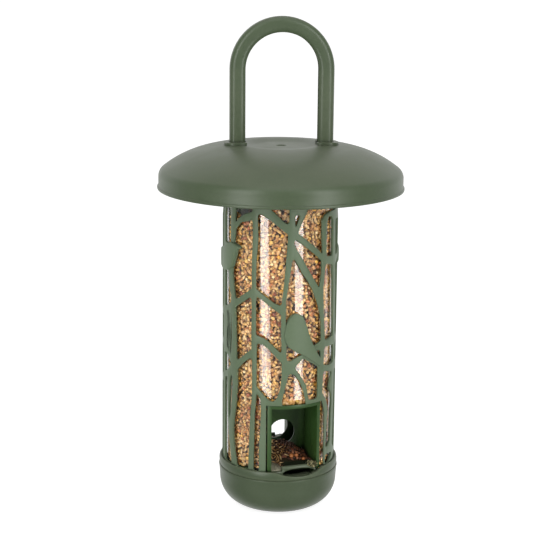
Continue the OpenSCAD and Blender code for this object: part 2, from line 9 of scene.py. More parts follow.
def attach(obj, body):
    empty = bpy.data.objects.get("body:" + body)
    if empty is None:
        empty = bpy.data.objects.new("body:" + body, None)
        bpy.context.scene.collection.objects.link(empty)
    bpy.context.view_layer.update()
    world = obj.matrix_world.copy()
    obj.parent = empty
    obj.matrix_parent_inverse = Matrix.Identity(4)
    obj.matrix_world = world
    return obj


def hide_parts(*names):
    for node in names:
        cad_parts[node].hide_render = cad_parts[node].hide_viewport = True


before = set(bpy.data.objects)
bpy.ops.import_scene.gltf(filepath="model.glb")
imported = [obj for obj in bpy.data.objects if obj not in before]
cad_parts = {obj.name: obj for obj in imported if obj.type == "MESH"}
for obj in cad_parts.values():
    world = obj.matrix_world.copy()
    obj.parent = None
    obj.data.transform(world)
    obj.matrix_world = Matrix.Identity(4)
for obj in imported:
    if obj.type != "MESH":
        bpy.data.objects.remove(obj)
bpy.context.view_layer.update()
mm = 0.001
weld = 0.002 * mm  # corners nearer to each other than this are merged
overlap = 1 * mm  # how far solids that are joined reach into each other
print("frame loaded:", len(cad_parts), "nodes")


# Tools of the workshop

def deselectAll():
    if bpy.context.object and bpy.context.object.mode != "OBJECT":
        bpy.ops.object.mode_set(mode="OBJECT")
    bpy.ops.object.select_all(action="DESELECT")


def workOn(piece):
    deselectAll()
    piece.select_set(True)
    bpy.context.view_layer.objects.active = piece


def editAll(piece):
    workOn(piece)
    bpy.ops.object.mode_set(mode="EDIT")
    bpy.ops.mesh.select_all(action="SELECT")


def backToObject():
    bpy.ops.object.mode_set(mode="OBJECT")


def editChosen(piece, chosen):
    # selects the corners that chosen says yes to, and goes on in edit mode
    backToObject()
    for vertex in piece.data.vertices:
        vertex.select = chosen(vertex.co)
    bpy.ops.object.mode_set(mode="EDIT")


def faceOut():
    # turns all faces outwards and leaves edit mode
    bpy.ops.mesh.select_all(action="SELECT")
    bpy.ops.mesh.normals_make_consistent(inside=False)
    backToObject()


def settle(piece):
    # leaves the object at the origin with its place in its mesh
    workOn(piece)
    bpy.ops.object.transform_apply(location=True, rotation=True, scale=True)


def finishWith(piece, kind, **settings):
    # adds one modifier and applies it
    workOn(piece)
    modifier = piece.modifiers.new(kind.title(), kind)
    for key, value in settings.items():
        setattr(modifier, key, value)
    bpy.ops.object.modifier_apply(modifier=modifier.name)


def easeEdges(piece, width, segments, sharper, **settings):
    # bevels the edges that turn by more than so many degrees
    finishWith(piece, "BEVEL", width=width, segments=segments, limit_method="ANGLE",
               angle_limit=math.radians(sharper), **settings)


def combine(piece, other, operation):
    finishWith(piece, "BOOLEAN", operation=operation, solver="EXACT", object=other)
    bpy.data.objects.remove(other)


def cutAway(piece, cutter):
    combine(piece, cutter, "DIFFERENCE")


def joinSolid(piece, other):
    combine(piece, other, "UNION")


def smoothUpTo(piece, degrees):
    workOn(piece)
    bpy.ops.object.shade_smooth_by_angle(angle=math.radians(degrees))


def solidBlock(size, middle=(0, 0, 0)):
    bpy.ops.mesh.primitive_cube_add(size=1)
    block = bpy.context.object
    block.scale, block.location = size, middle
    settle(block)
    return block


def spun(name, outline, steps):
    # turns an outline of (radius, height) points about the feeder's axis
    bpy.ops.mesh.primitive_plane_add(size=0.001, location=(outline[0][0], 0, outline[0][1]))
    piece = bpy.context.object
    piece.name = name
    settle(piece)
    editAll(piece)
    bpy.ops.mesh.merge(type="CENTER")
    for before, after in zip(outline, outline[1:]):
        step = (after[0] - before[0], 0, after[1] - before[1])
        bpy.ops.mesh.extrude_vertices_move(TRANSFORM_OT_translate={"value": step})
    bpy.ops.mesh.select_all(action="SELECT")
    bpy.ops.mesh.spin(steps=steps, angle=2 * math.pi, center=(0, 0, 0), axis=(0, 0, 1))
    bpy.ops.mesh.select_all(action="SELECT")
    bpy.ops.mesh.remove_doubles(threshold=weld)
    faceOut()
    return piece


def mergedCopy(node, name):
    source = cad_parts[node]
    piece = bpy.data.objects.new(name, source.data.copy())
    bpy.context.scene.collection.objects.link(piece)
    editAll(piece)
    bpy.ops.mesh.customdata_custom_splitnormals_clear()
    bpy.ops.mesh.remove_doubles(threshold=weld)
    backToObject()
    return piece


def arc(centre, radius, start, end, count):
    # points of a round corner between two angles in degrees
    angles = [math.radians(start + (end - start) * i / count) for i in range(count + 1)]
    return [(centre[0] + radius * math.cos(a), centre[1] + radius * math.sin(a)) for a in angles]


def around(azimuth, distance, height):
    # a point at an angle round the feeder, from the front towards +X
    a = math.radians(azimuth)
    return Vector((math.sin(a) * distance, -math.cos(a) * distance, height))


def blendOver(value, start, end):
    # 0 before start, 1 after end, and even between them
    return min(max((value - start) / (end - start), 0), 1)


# Nodes

def feed(tree, inputs, given):
    # links a socket or sets a plain value on each named or numbered input
    for key, value in given.items():
        if isinstance(value, bpy.types.NodeSocket):
            tree.links.new(value, inputs[key])
        else:
            inputs[key].default_value = value


def put(tree, kind, given=None, **settings):
    # adds a node with its settings and its inputs
    node = tree.nodes.new(kind)
    for key, value in settings.items():
        setattr(node, key, value)
    feed(tree, node.inputs, given or {})
    return node


def placeOn(tree):
    return put(tree, "ShaderNodeTexCoord").outputs["Object"]


def calc(tree, operation, first, second, clamp=False):
    return put(tree, "ShaderNodeMath", {0: first, 1: second}, operation=operation,
               use_clamp=clamp).outputs[0]


def ranged(tree, value, start, end, low=0.0, high=1.0):
    # carries a value from the range start to end over to low to high
    return put(tree, "ShaderNodeMapRange", {"Value": value, "From Min": start, "From Max": end,
                                            "To Min": low, "To Max": high}).outputs[0]


def grainy(tree, place, scale, detail, roughness=0.5, distortion=0.0):
    return put(tree, "ShaderNodeTexNoise", {"Vector": place, "Scale": scale, "Detail": detail,
                                            "Roughness": roughness,
                                            "Distortion": distortion}).outputs[0]


def bumpy(tree, height, strength, distance):
    return put(tree, "ShaderNodeBump", {"Height": height, "Strength": strength,
                                        "Distance": distance}).outputs["Normal"]


def shades(tree, factor, colours):
    ramp = put(tree, "ShaderNodeValToRGB", {"Fac": factor})
    points = ramp.color_ramp.elements
    while len(points) < len(colours):
        points.new(0.5)
    for i, colour in enumerate(colours):
        points[i].position = i / (len(colours) - 1)
        points[i].color = (*colour, 1)
    return ramp.outputs[0]


def blended(tree, factor, below, above):
    # one colour over another; the one above may be a plain one
    cover = (*above, 1) if isinstance(above, tuple) else above
    return put(tree, "ShaderNodeMix", {"Factor": factor, 6: below, 7: cover},
               data_type="RGBA").outputs[2]


# Shader groups that several finishes share; marks are counted per metre

effectLooks = {"grain": {"pits": 1500.0, "swell": 420.0},
               "flow": {"clouds": 26.0, "from": 0.3, "to": 0.7},
               "wear": {"sharpness": 0.56, "full": 0.66, "breaks": 260.0},
               "dust": {"amount": 0.2, "level": 0.55, "patches": 70.0},
               # painted shade: how far and how strongly deep corners are darkened, found by
               # ambient occlusion
               "paintedShade": {"reach": 6 * mm, "open": 0.70, "closed": 0.28, "streaks": 180.0,
                         "weakest": 0.75, "strongest": 1.15}}


def newGroup(name, dial, value, results):
    # a group that takes a place and one number; gives it with those two and its exits
    group = bpy.data.node_groups.new(name, "ShaderNodeTree")
    group.interface.new_socket(name="Place", in_out="INPUT", socket_type="NodeSocketVector")
    knob = group.interface.new_socket(name=dial, in_out="INPUT", socket_type="NodeSocketFloat")
    knob.default_value = value
    for label in results:
        group.interface.new_socket(name=label, in_out="OUTPUT", socket_type="NodeSocketFloat")
    entry = put(group, "NodeGroupInput").outputs
    return group, entry["Place"], entry[dial], put(group, "NodeGroupOutput").inputs


def makeMouldGrain():
    # the fine matt texture of a spark-eroded mould
    look = effectLooks["grain"]
    group, place, fineness, leave = newGroup("mouldGrain", "Fineness", 1.0, ("Height", "Tone"))
    pits = grainy(group, place, calc(group, "MULTIPLY", fineness, look["pits"]), 2.0, 0.6)
    swell = grainy(group, place, calc(group, "MULTIPLY", fineness, look["swell"]), 3.0)
    feed(group, leave, {"Height": calc(group, "ADD", pits, swell), "Tone": swell})
    return group


def makeFlowMarks():
    # slow changes of gloss and shade where the plastic filled the mould
    look = effectLooks["flow"]
    group, place, size, leave = newGroup("flowMarks", "Size", 1.0, ("Mask",))
    cloud = grainy(group, place, calc(group, "MULTIPLY", size, look["clouds"]), 4.0, 0.55, 0.6)
    feed(group, leave, {"Mask": ranged(group, cloud, look["from"], look["to"])})
    return group


def makeEdgeWear():
    # a pale rub along outward edges, broken up by noise
    look = effectLooks["wear"]
    group, place, sharpness, leave = newGroup("edgeWear", "Sharpness", look["sharpness"],
                                              ("Mask",))
    shape = put(group, "ShaderNodeNewGeometry").outputs["Pointiness"]
    edge = ranged(group, shape, sharpness, look["full"])
    feed(group, leave, {"Mask": calc(group, "MULTIPLY", edge,
                                     grainy(group, place, look["breaks"], 3.0))})
    return group


def makeSettledDust():
    # a thin veil of seed dust on faces that look up
    look = effectLooks["dust"]
    group, place, amount, leave = newGroup("settledDust", "Amount", look["amount"], ("Mask",))
    normal = put(group, "ShaderNodeNewGeometry").outputs["Normal"]
    upward = put(group, "ShaderNodeSeparateXYZ", {0: normal}).outputs["Z"]
    patches = grainy(group, place, look["patches"], 6.0, 0.7)
    lying = calc(group, "MULTIPLY", ranged(group, upward, look["level"], 1.0), patches)
    feed(group, leave, {"Mask": calc(group, "MULTIPLY", lying, amount)})
    return group


def makePaintedShade():
    # painted shade: darkening in deep corners and slots where ambient occlusion finds them, uneven
    # in streaks
    look = effectLooks["paintedShade"]
    group, place, reach, leave = newGroup("paintedCornerShade", "Reach", look["reach"], ("Mask",))
    corners = put(group, "ShaderNodeAmbientOcclusion", {"Distance": reach}, samples=8)
    deep = ranged(group, corners.outputs["AO"], look["open"], look["closed"])
    strength = ranged(group, grainy(group, place, look["streaks"], 4.0), 0.0, 1.0,
                      look["weakest"], look["strongest"])
    feed(group, leave, {"Mask": calc(group, "MULTIPLY", deep, strength, clamp=True)})
    return group


effects = {"paintedShade": makePaintedShade(), "grain": makeMouldGrain(), "flow": makeFlowMarks(),
           "wear": makeEdgeWear(), "dust": makeSettledDust()}
print("shader groups built:", len(effects))


# Finishes

plasticLooks = {
    "canopyGreen": {"colour": (0.066, 0.092, 0.049), "rough": 0.36, "grain": 0.10,
                    "fineness": 1.0, "rub": 0.35, "dust": 0.16},  # lid, handle, bowl and ring
    "trellisGreen": {"colour": (0.110, 0.157, 0.087), "rough": 0.42, "grain": 0.10,
                     "fineness": 1.2, "rub": 0.30, "dust": 0.10},
    "bayGreen": {"colour": (0.030, 0.075, 0.016), "rough": 0.40, "grain": 0.08,
                 "fineness": 1.2, "rub": 0.45, "dust": 0.12},
}
# shares of a plastic's own colour; the darkest share is painted shade in deep corners
plasticTints = {"dull": (0.93, 0.94, 0.93), "rich": (1.07, 1.05, 1.08), "fleck": (1.5, 1.4, 1.5),
                "rub": (2.3, 1.9, 2.2), "paintedShade": (0.16, 0.15, 0.16)}
plasticSpread = {"flecks": 0.14, "flecksFrom": 0.35, "flecksTo": 0.75, "glossier": 0.035,
                 "duller": 0.045, "bump": 0.2 * mm, "ior": 1.49}
clearLook = {"colour": (0.97, 0.98, 0.96, 1), "smears": 45.0, "clean": 0.015, "smeared": 0.07,
             "ripples": 18.0, "ripple": 0.05, "bump": 0.8 * mm}
steelLook = {"colours": [(0.42, 0.43, 0.44), (0.60, 0.60, 0.60)], "lines": 2600.0,
             "drawn": 0.05, "smooth": 0.22, "rough": 0.38}
seedDust = (0.30, 0.27, 0.20)


def newMaterial(name):
    material = bpy.data.materials.new(name)
    material.use_nodes = True
    tree = material.node_tree
    return material, tree, tree.nodes["Principled BSDF"].inputs


def useEffect(tree, effect, given):
    return put(tree, "ShaderNodeGroup", given, node_tree=effects[effect]).outputs


def plastic(name):
    look, spread = plasticLooks[name], plasticSpread
    tint = {key: tuple(c * share for c, share in zip(look["colour"], shares))
            for key, shares in plasticTints.items()}
    material, tree, skin = newMaterial(name)
    place = placeOn(tree)
    grain = useEffect(tree, "grain", {"Place": place, "Fineness": look["fineness"]})
    flow = useEffect(tree, "flow", {"Place": place})["Mask"]
    wear = useEffect(tree, "wear", {"Place": place})["Mask"]
    dust = useEffect(tree, "dust", {"Place": place, "Amount": look["dust"]})["Mask"]
    paintedShade = useEffect(tree, "paintedShade", {"Place": place})["Mask"]
    colour = shades(tree, flow, [tint["dull"], look["colour"], tint["rich"]])
    flecks = ranged(tree, grain["Tone"], spread["flecksFrom"], spread["flecksTo"], 0.0,
                    spread["flecks"])
    colour = blended(tree, flecks, colour, tint["fleck"])
    colour = blended(tree, calc(tree, "MULTIPLY", wear, look["rub"]), colour, tint["rub"])
    colour = blended(tree, dust, colour, seedDust)
    # painted shade: deep corners and slots are darkened towards the darkest tint
    colour = blended(tree, paintedShade, colour, tint["paintedShade"])
    gloss = ranged(tree, flow, 0.0, 1.0, look["rough"] - spread["glossier"],
                   look["rough"] + spread["duller"])
    feed(tree, skin, {"Base Color": colour, "Roughness": calc(tree, "ADD", gloss, dust),
                      "Normal": bumpy(tree, grain["Height"], look["grain"], spread["bump"]),
                      "IOR": spread["ior"]})
    return material


def clearPlastic():
    look = clearLook
    material, tree, skin = newMaterial("clearTube")
    place = placeOn(tree)
    smear = ranged(tree, grainy(tree, place, look["smears"], 6.0, 0.65), 0.45, 0.8,
                   look["clean"], look["smeared"])
    ripple = grainy(tree, place, look["ripples"], 1.0)
    feed(tree, skin, {"Roughness": smear, "Base Color": look["colour"],
                      "Normal": bumpy(tree, ripple, look["ripple"], look["bump"]),
                      "Transmission Weight": 1.0, "IOR": plasticSpread["ior"]})
    return material


def brightSteel():
    look = steelLook
    material, tree, skin = newMaterial("pinSteel")
    drawn = put(tree, "ShaderNodeMapping", {"Vector": placeOn(tree),
                                            "Scale": (1.0, 1.0, look["drawn"])})
    lines = grainy(tree, drawn.outputs[0], look["lines"], 3.0)
    feed(tree, skin, {"Base Color": shades(tree, lines, look["colours"]),
                      "Roughness": ranged(tree, lines, 0.0, 1.0, look["smooth"], look["rough"]),
                      "Metallic": 1.0})
    return material


finishes = {name: plastic(name) for name in plasticLooks}
finishes["clearTube"] = clearPlastic()
finishes["pinSteel"] = brightSteel()
print("finishes made:", ", ".join(finishes))


def dress(piece, body, finish, node):
    # gives a finished piece its material and body, and hides the node that it stands for
    piece.data.materials.clear()
    piece.data.materials.append(finishes[finish])
    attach(piece, body)
    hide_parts(node)


# Lid

lidShape = {"lipRadius": 100 * mm, "skirtRadius": 99 * mm, "lipHeight": 268.0 * mm,
            "skirtTop": 278.1 * mm, "corner": 8 * mm, "rise": 20 * mm, "fullness": 3.8,
            "dishDepth": 1.9 * mm, "dishRadius": 36 * mm, "dishFlat": 0.55, "wall": 2.2 * mm,
            "rings": 30, "steps": 160, "dimpleRadius": 4 * mm, "dimpleDepth": 0.8 * mm,
            "collarRise": 2.2 * mm, "collarWidth": 4.35 * mm, "gap": 0.35 * mm,
            "sleeve": 2 * mm, "locatorRadius": 46.5 * mm, "locatorLow": 262 * mm,
            "above": 320 * mm}
handleShape = {"armRadius": 35.3 * mm, "width": 13.2 * mm, "depth": 13 * mm, "corner": 4.8 * mm,
               "wall": 2.4 * mm, "turn": -13, "foot": 242 * mm, "springing": 363.36 * mm,
               "archSteps": 48}


def shoulderOfLid():
    # where the dome runs into the rounding: its radius, its height and its slope
    shape = lidShape
    radius = shape["skirtRadius"] - shape["corner"]
    for _ in range(4):
        slope = math.atan(shape["rise"] * shape["fullness"] / radius)
        radius = shape["skirtRadius"] - shape["corner"] * (1 - math.sin(slope))
    return radius, shape["skirtTop"] + shape["corner"] * math.cos(slope), slope


def domeHeight(radius):
    shape = lidShape
    shoulder, level, _ = shoulderOfLid()
    crown = level + shape["rise"] * (1 - (radius / shoulder) ** shape["fullness"])
    along = blendOver(radius / shape["dishRadius"], shape["dishFlat"], 1)
    return crown - shape["dishDepth"] * (1 + math.cos(math.pi * along)) / 2


def domeOutline(drop, raised=0.0):
    # from the axis out over the dome to the top of the skirt, drop below the outer face
    shape = lidShape
    shoulder, _, slope = shoulderOfLid()
    points = []
    for i in range(shape["rings"]):
        radius = shoulder * i / shape["rings"]
        lean = math.atan(math.tan(slope) * (radius / shoulder) ** (shape["fullness"] - 1))
        points.append((radius - drop * math.sin(lean),
                       domeHeight(radius) - drop * math.cos(lean) + raised))
    centre = (shape["skirtRadius"] - shape["corner"], shape["skirtTop"] + raised)
    return points + arc(centre, shape["corner"] - drop, 90 - math.degrees(slope), 0, 8)


def barSection(name, wide, deep, corner, segments, radius, low):
    # the rounded outline of a bar that stands at a radius, open for editing
    bpy.ops.mesh.primitive_plane_add(size=1, location=(radius, 0, low))
    bar = bpy.context.object
    bar.name = name
    bar.scale = (wide, deep, 1)
    settle(bar)
    editAll(bar)
    bpy.ops.mesh.bevel(offset=corner, segments=segments, affect="VERTICES")
    bpy.ops.mesh.select_all(action="SELECT")
    return bar


def legBlock(name, grow, low, high, side):
    # an upright block of the bar's outline, grown on every side, where one leg stands
    bar = handleShape
    block = barSection(name, bar["width"] + 2 * grow, bar["depth"] + 2 * grow,
                       bar["corner"] + grow, 6, bar["armRadius"], low)
    bpy.ops.mesh.extrude_region_move(TRANSFORM_OT_translate={"value": (0, 0, high - low)})
    faceOut()
    block.rotation_euler = (0, 0, math.radians(bar["turn"] + side))
    settle(block)
    return block


def raisedDome():
    # the lid's outer form as a solid, lifted to the height of the collars
    shape = lidShape
    outline = domeOutline(0, shape["collarRise"]) + [(0, shape["skirtTop"] - 5 * mm)]
    return spun("raisedDome", outline, 96)


def makeCollar(side):
    # a low rim round one leg, open on its inner side
    shape, bar = lidShape, handleShape
    collar = legBlock("collar", shape["collarWidth"], shape["skirtTop"], shape["above"], side)
    turn = Matrix.Rotation(math.radians(bar["turn"] + side), 3, "Z")
    inner = turn @ Vector((bar["armRadius"] - bar["width"] / 2 - shape["gap"], 0, 0))
    editAll(collar)
    bpy.ops.mesh.bisect(plane_co=inner, plane_no=turn @ Vector((1, 0, 0)),
                        clear_inner=True, use_fill=True)
    backToObject()
    combine(collar, raisedDome(), "INTERSECT")
    return collar


def makeLid():
    shape = lidShape
    deep, reach, crown = shape["dimpleDepth"], shape["dimpleRadius"], domeHeight(0)
    dimple = [(0, crown - deep), (reach - 0.6 * mm, crown - deep),
              (reach - 0.1 * mm, crown - 0.5 * deep), (reach + 0.4 * mm, crown)]
    outer = dimple + [p for p in domeOutline(0) if p[0] > reach + 1 * mm]
    lip, base, skirt = shape["lipRadius"], shape["lipHeight"], shape["skirtRadius"]
    inside = skirt - shape["wall"]
    edge = [(skirt, base + 2.7 * mm), (skirt + 0.2 * mm, base + 2.4 * mm),
            (lip - 0.3 * mm, base + 2.2 * mm), (lip, base + 1.7 * mm), (lip, base + 0.6 * mm),
            (lip - 0.2 * mm, base + 0.2 * mm), (lip - 0.6 * mm, base),
            (inside + 0.4 * mm, base), (inside, base + 0.4 * mm)]
    lid = spun("lidShell", outer + edge + list(reversed(domeOutline(shape["wall"]))),
               shape["steps"])
    for side in (0, 180):
        joinSolid(lid, makeCollar(side))
        joinSolid(lid, legBlock("sleeve", shape["gap"] + shape["sleeve"], base,
                                domeHeight(handleShape["armRadius"]) - overlap, side))
    low, wide = shape["locatorLow"], shape["locatorRadius"]
    high, thick = domeHeight(wide) - overlap, wide + shape["wall"]
    joinSolid(lid, spun("locator", [(wide, high), (wide, low), (thick, low), (thick, high),
                                    (wide, high)], 96))
    for side in (0, 180):
        cutAway(lid, legBlock("legCutter", shape["gap"], low - 5 * mm, shape["above"], side))
    easeEdges(lid, 0.35 * mm, 2, 48, harden_normals=False)
    return lid


lid = makeLid()
smoothUpTo(lid, 35)
dress(lid, "lid", "canopyGreen", "lid")
print("lid done")


# Handle

def sweptArch(name, wide, deep, corner, radius):
    # a bar of rounded section: up one leg, over the arch and down the other
    bar = handleShape
    arch = barSection(name, wide, deep, corner, 8, radius, bar["foot"])
    bpy.ops.mesh.delete(type="ONLY_FACE")
    bpy.ops.mesh.select_all(action="SELECT")
    rise = bar["springing"] - bar["foot"]
    bpy.ops.mesh.extrude_edges_move(TRANSFORM_OT_translate={"value": (0, 0, rise)})
    bpy.ops.mesh.spin(steps=bar["archSteps"], angle=math.pi, center=(0, 0, bar["springing"]),
                      axis=(0, 1, 0))
    bpy.ops.mesh.extrude_edges_move(TRANSFORM_OT_translate={"value": (0, 0, -rise)})
    bpy.ops.mesh.select_all(action="SELECT")
    bpy.ops.mesh.remove_doubles(threshold=weld)
    bpy.ops.mesh.select_all(action="DESELECT")
    bpy.ops.mesh.select_non_manifold()
    bpy.ops.mesh.fill()
    faceOut()
    return arch


def makeHandle():
    bar = handleShape
    handle = sweptArch("carryHandle", bar["width"], bar["depth"], bar["corner"],
                       bar["armRadius"])
    cutAway(handle, sweptArch("channel", bar["width"], bar["depth"] - 2 * bar["wall"], 0.9 * mm,
                              bar["armRadius"] - bar["wall"]))
    easeEdges(handle, 0.5 * mm, 3, 50)
    handle.rotation_euler = (0, 0, math.radians(bar["turn"]))
    settle(handle)
    return handle


handle = makeHandle()
smoothUpTo(handle, 35)
dress(handle, "feeder", "canopyGreen", "handle")
print("handle done")


# Base bowl

bowlShape = {"rim": 49.8 * mm, "seam": 34 * mm, "wall": 2.2 * mm, "footRadius": 25.9 * mm,
             "draft": 0.9 * mm, "steps": 144, "drains": 5, "drainRadius": 1.8 * mm,
             "drainsOut": 0.55, "footSink": 0.6 * mm}


def makeBowl():
    shape = bowlShape
    rim, seam, foot, wall = shape["rim"], shape["seam"], shape["footRadius"], shape["wall"]
    corner = rim - shape["draft"] - foot
    cornerIn = corner - wall
    outer = [(0, shape["footSink"]), (foot - 3.2 * mm, shape["footSink"]),
             (foot - 2.4 * mm, 0), (foot, 0)]
    outer += arc((foot, corner), corner, -90, 0, 20)[1:]
    outer += [(rim - 0.3 * mm, seam - 2.5 * mm), (rim, seam - 1.3 * mm),
              (rim - 0.15 * mm, seam - 0.35 * mm), (rim - 0.7 * mm, seam)]
    inner = [(rim - wall + 0.5 * mm, seam), (rim - wall, seam - 0.5 * mm)]
    inner += [(foot + cornerIn, corner)]
    inner += arc((foot, corner), cornerIn, 0, -90, 20)[1:] + [(0, wall)]
    bowl = spun("bottomBowl", outer + inner, shape["steps"])
    for i in range(shape["drains"]):
        place = around(360 * i / shape["drains"] + 180, foot * shape["drainsOut"], 0)
        bpy.ops.mesh.primitive_cylinder_add(vertices=24, radius=shape["drainRadius"],
                                            depth=4 * wall, location=place)
        drill = bpy.context.object
        settle(drill)
        cutAway(bowl, drill)
    easeEdges(bowl, 0.25 * mm, 2, 60)
    return bowl


bowl = makeBowl()
smoothUpTo(bowl, 35)
dress(bowl, "bowl", "canopyGreen", "base_bowl")
print("bowl done")


# Trellis: each half is laid out flat, its edges are rounded, and it is rolled up again

trellisShape = {"outer": 47 * mm, "edge": 0.38 * mm, "stepDegrees": 4.0, "split": -2,
                "flatWithin": 1.2}


def rolled(piece, middle, flat):
    # lays a half cage out flat about its middle, or rolls it up again
    points = np.zeros(len(piece.data.vertices) * 3)
    piece.data.vertices.foreach_get("co", points)
    points = points.reshape(-1, 3)
    outer = trellisShape["outer"]
    if flat:
        angle = np.arctan2(points[:, 0], -points[:, 1]) - middle
        angle = (angle + math.pi) % (2 * math.pi) - math.pi
        radius = np.hypot(points[:, 0], points[:, 1])
        moved = np.stack([angle * outer, outer - radius, points[:, 2]], axis=1)
    else:
        angle = points[:, 0] / outer + middle
        radius = outer - points[:, 1]
        moved = np.stack([np.sin(angle) * radius, -np.cos(angle) * radius, points[:, 2]], axis=1)
    piece.data.vertices.foreach_set("co", moved.ravel())
    piece.data.update()


def makeTrellis(node, name, middleDegrees):
    shape = trellisShape
    middle = math.radians(middleDegrees)
    piece = mergedCopy(node, name)
    rolled(piece, middle, True)
    editAll(piece)
    bpy.ops.mesh.dissolve_limited(angle_limit=math.radians(shape["flatWithin"]))
    backToObject()
    easeEdges(piece, shape["edge"], 2, 52, use_clamp_overlap=False)
    editAll(piece)
    bpy.ops.mesh.quads_convert_to_tris(quad_method="BEAUTY", ngon_method="BEAUTY")
    steps = round(180 / shape["stepDegrees"])
    for i in range(1, steps):
        across = math.radians(-90 + 180 * i / steps) * shape["outer"]
        bpy.ops.mesh.select_all(action="SELECT")
        bpy.ops.mesh.bisect(plane_co=(across, 0, 0), plane_no=(1, 0, 0))
    backToObject()
    rolled(piece, middle, False)
    return piece


for node, name, middleDegrees in (("front_trellis", "frontBranches", trellisShape["split"]),
                                  ("rear_trellis", "rearBranches", trellisShape["split"] + 180)):
    branches = makeTrellis(node, name, middleDegrees)
    smoothUpTo(branches, 35)
    dress(branches, "feeder", "trellisGreen", node)
print("trellis done")


# Ring, bays, tray, baffle and top ring: the built forms with their edges rounded

roundedCopies = {"base_ring": ("ringWithPerch", "green_base", "canopyGreen", 0.35 * mm),
                 "front_bay": ("frontBay", "green_inner", "bayGreen", 0.30 * mm),
                 "rear_bay": ("rearBay", "green_inner", "bayGreen", 0.30 * mm),
                 "floor_tray": ("bayFloor", "green_inner", "bayGreen", 0.25 * mm),
                 "seed_baffle": ("baffleRoof", "green_inner", "bayGreen", 0.40 * mm),
                 "top_ring": ("tubeTopRing", "green_base", "canopyGreen", 0.25 * mm)}
perchShape = {"middle": 4.0 * mm, "half": 14.6 * mm, "front": 42.9 * mm, "back": 40.3 * mm,
              "low": 36.7 * mm, "barUnder": 42.2 * mm, "archMiddle": 38.4 * mm,
              "archHalf": 14.0 * mm, "archFront": 43.3 * mm, "archBack": 30.0 * mm,
              "openTo": 35.5 * mm, "openShare": 0.9, "openInset": 0.35 * mm}
lipShape = {"azimuth": 18.0, "wide": 6.0 * mm, "inside": 46.9 * mm, "outside": 49.42 * mm,
            "low": 34.0 * mm, "high": 39.6 * mm, "chamferTop": 35.4 * mm, "chamfer": 0.4 * mm,
            "dipRadius": 53.43 * mm, "dipFloor": 36.9 * mm, "slopeLow": (18.7 * mm, 38.9 * mm),
            "slopeHigh": (25.1 * mm, 41.2 * mm), "slopeFront": 43.6 * mm,
            "slopeBack": 39.5 * mm, "slopeThick": 3 * mm}


def boxBetween(low, high, side):
    # a block between two corners given for the front, turned round for the rear
    middle = [(a + b) / 2 for a, b in zip(low, high)]
    return solidBlock([abs(b - a) for a, b in zip(low, high)],
                      (side * middle[0], -side * middle[1], middle[2]))


def closeLip(piece, side):
    # closes the lip beside the perch bar's right end, with the lip's own chamfer and dip
    shape = lipShape
    thick, high = shape["outside"] - shape["inside"], shape["high"] - shape["low"]
    web = solidBlock((shape["wide"], thick, high),
                     (0, -(shape["inside"] + thick / 2), shape["low"] + high / 2))
    editAll(web)
    bpy.ops.mesh.bisect(plane_co=(0, 0, shape["chamferTop"]), plane_no=(0, 0, 1))
    bpy.ops.mesh.select_all(action="DESELECT")
    editChosen(web, lambda corner: corner.z < shape["low"] + 0.1 * mm
               and corner.y < -shape["outside"] + 0.1 * mm)
    bpy.ops.transform.translate(value=(0, shape["chamfer"], 0))
    backToObject()
    web.rotation_euler = (0, 0, math.radians(shape["azimuth"]))
    settle(web)
    bpy.ops.mesh.primitive_cylinder_add(vertices=400, radius=shape["dipRadius"], depth=20 * mm,
                                        rotation=(math.pi / 2, 0, 0),
                                        location=(perchShape["middle"], -50 * mm,
                                                  shape["dipFloor"] + shape["dipRadius"]))
    dip = bpy.context.object
    settle(dip)
    cutAway(web, dip)
    web.rotation_euler = (0, 0, 0 if side == 1 else math.pi)
    settle(web)
    joinSolid(piece, web)


def slopeLip(piece, side):
    # planes the lip off beyond that, so that its dip runs on with no step
    shape = lipShape
    (x0, z0), (x1, z1) = shape["slopeLow"], shape["slopeHigh"]
    slope, thick = math.atan2(z1 - z0, x1 - x0), shape["slopeThick"]
    plane = solidBlock((math.hypot(x1 - x0, z1 - z0), shape["slopeFront"] - shape["slopeBack"],
                        thick))
    plane.rotation_euler = (0, -side * slope, 0)
    plane.location = (side * ((x0 + x1) / 2 - math.sin(slope) * thick / 2),
                      -side * (shape["slopeFront"] + shape["slopeBack"]) / 2,
                      (z0 + z1) / 2 + math.cos(slope) * thick / 2)
    settle(plane)
    cutAway(piece, plane)


def archPerch(piece, side):
    # gives the opening under one perch bar its arched, lens-like outline
    shape = perchShape
    rise = shape["barUnder"] - shape["archMiddle"]
    long = shape["archFront"] - shape["archBack"]
    bpy.ops.mesh.primitive_cylinder_add(vertices=72, radius=1, depth=1,
                                        rotation=(math.pi / 2, 0, 0))
    arch = bpy.context.object
    settle(arch)
    arch.scale = (shape["archHalf"], long, rise)
    arch.location = (side * shape["middle"], -side * (shape["archFront"] - long / 2),
                     shape["archMiddle"])
    settle(arch)
    cutAway(piece, arch)
    wide = shape["openShare"] * shape["archHalf"]
    cutAway(piece, boxBetween((shape["middle"] - wide, shape["archBack"] + shape["openInset"],
                               shape["openTo"]),
                              (shape["middle"] + wide, shape["archFront"] - shape["openInset"],
                               shape["archMiddle"]), side))


def fillPerch(piece, side):
    # fills the built opening under one perch bar, for the arch to be cut in
    shape = perchShape
    joinSolid(piece, boxBetween((shape["middle"] - shape["half"], shape["back"], shape["low"]),
                                (shape["middle"] + shape["half"], shape["front"],
                                 shape["barUnder"] + 0.2 * mm), side))


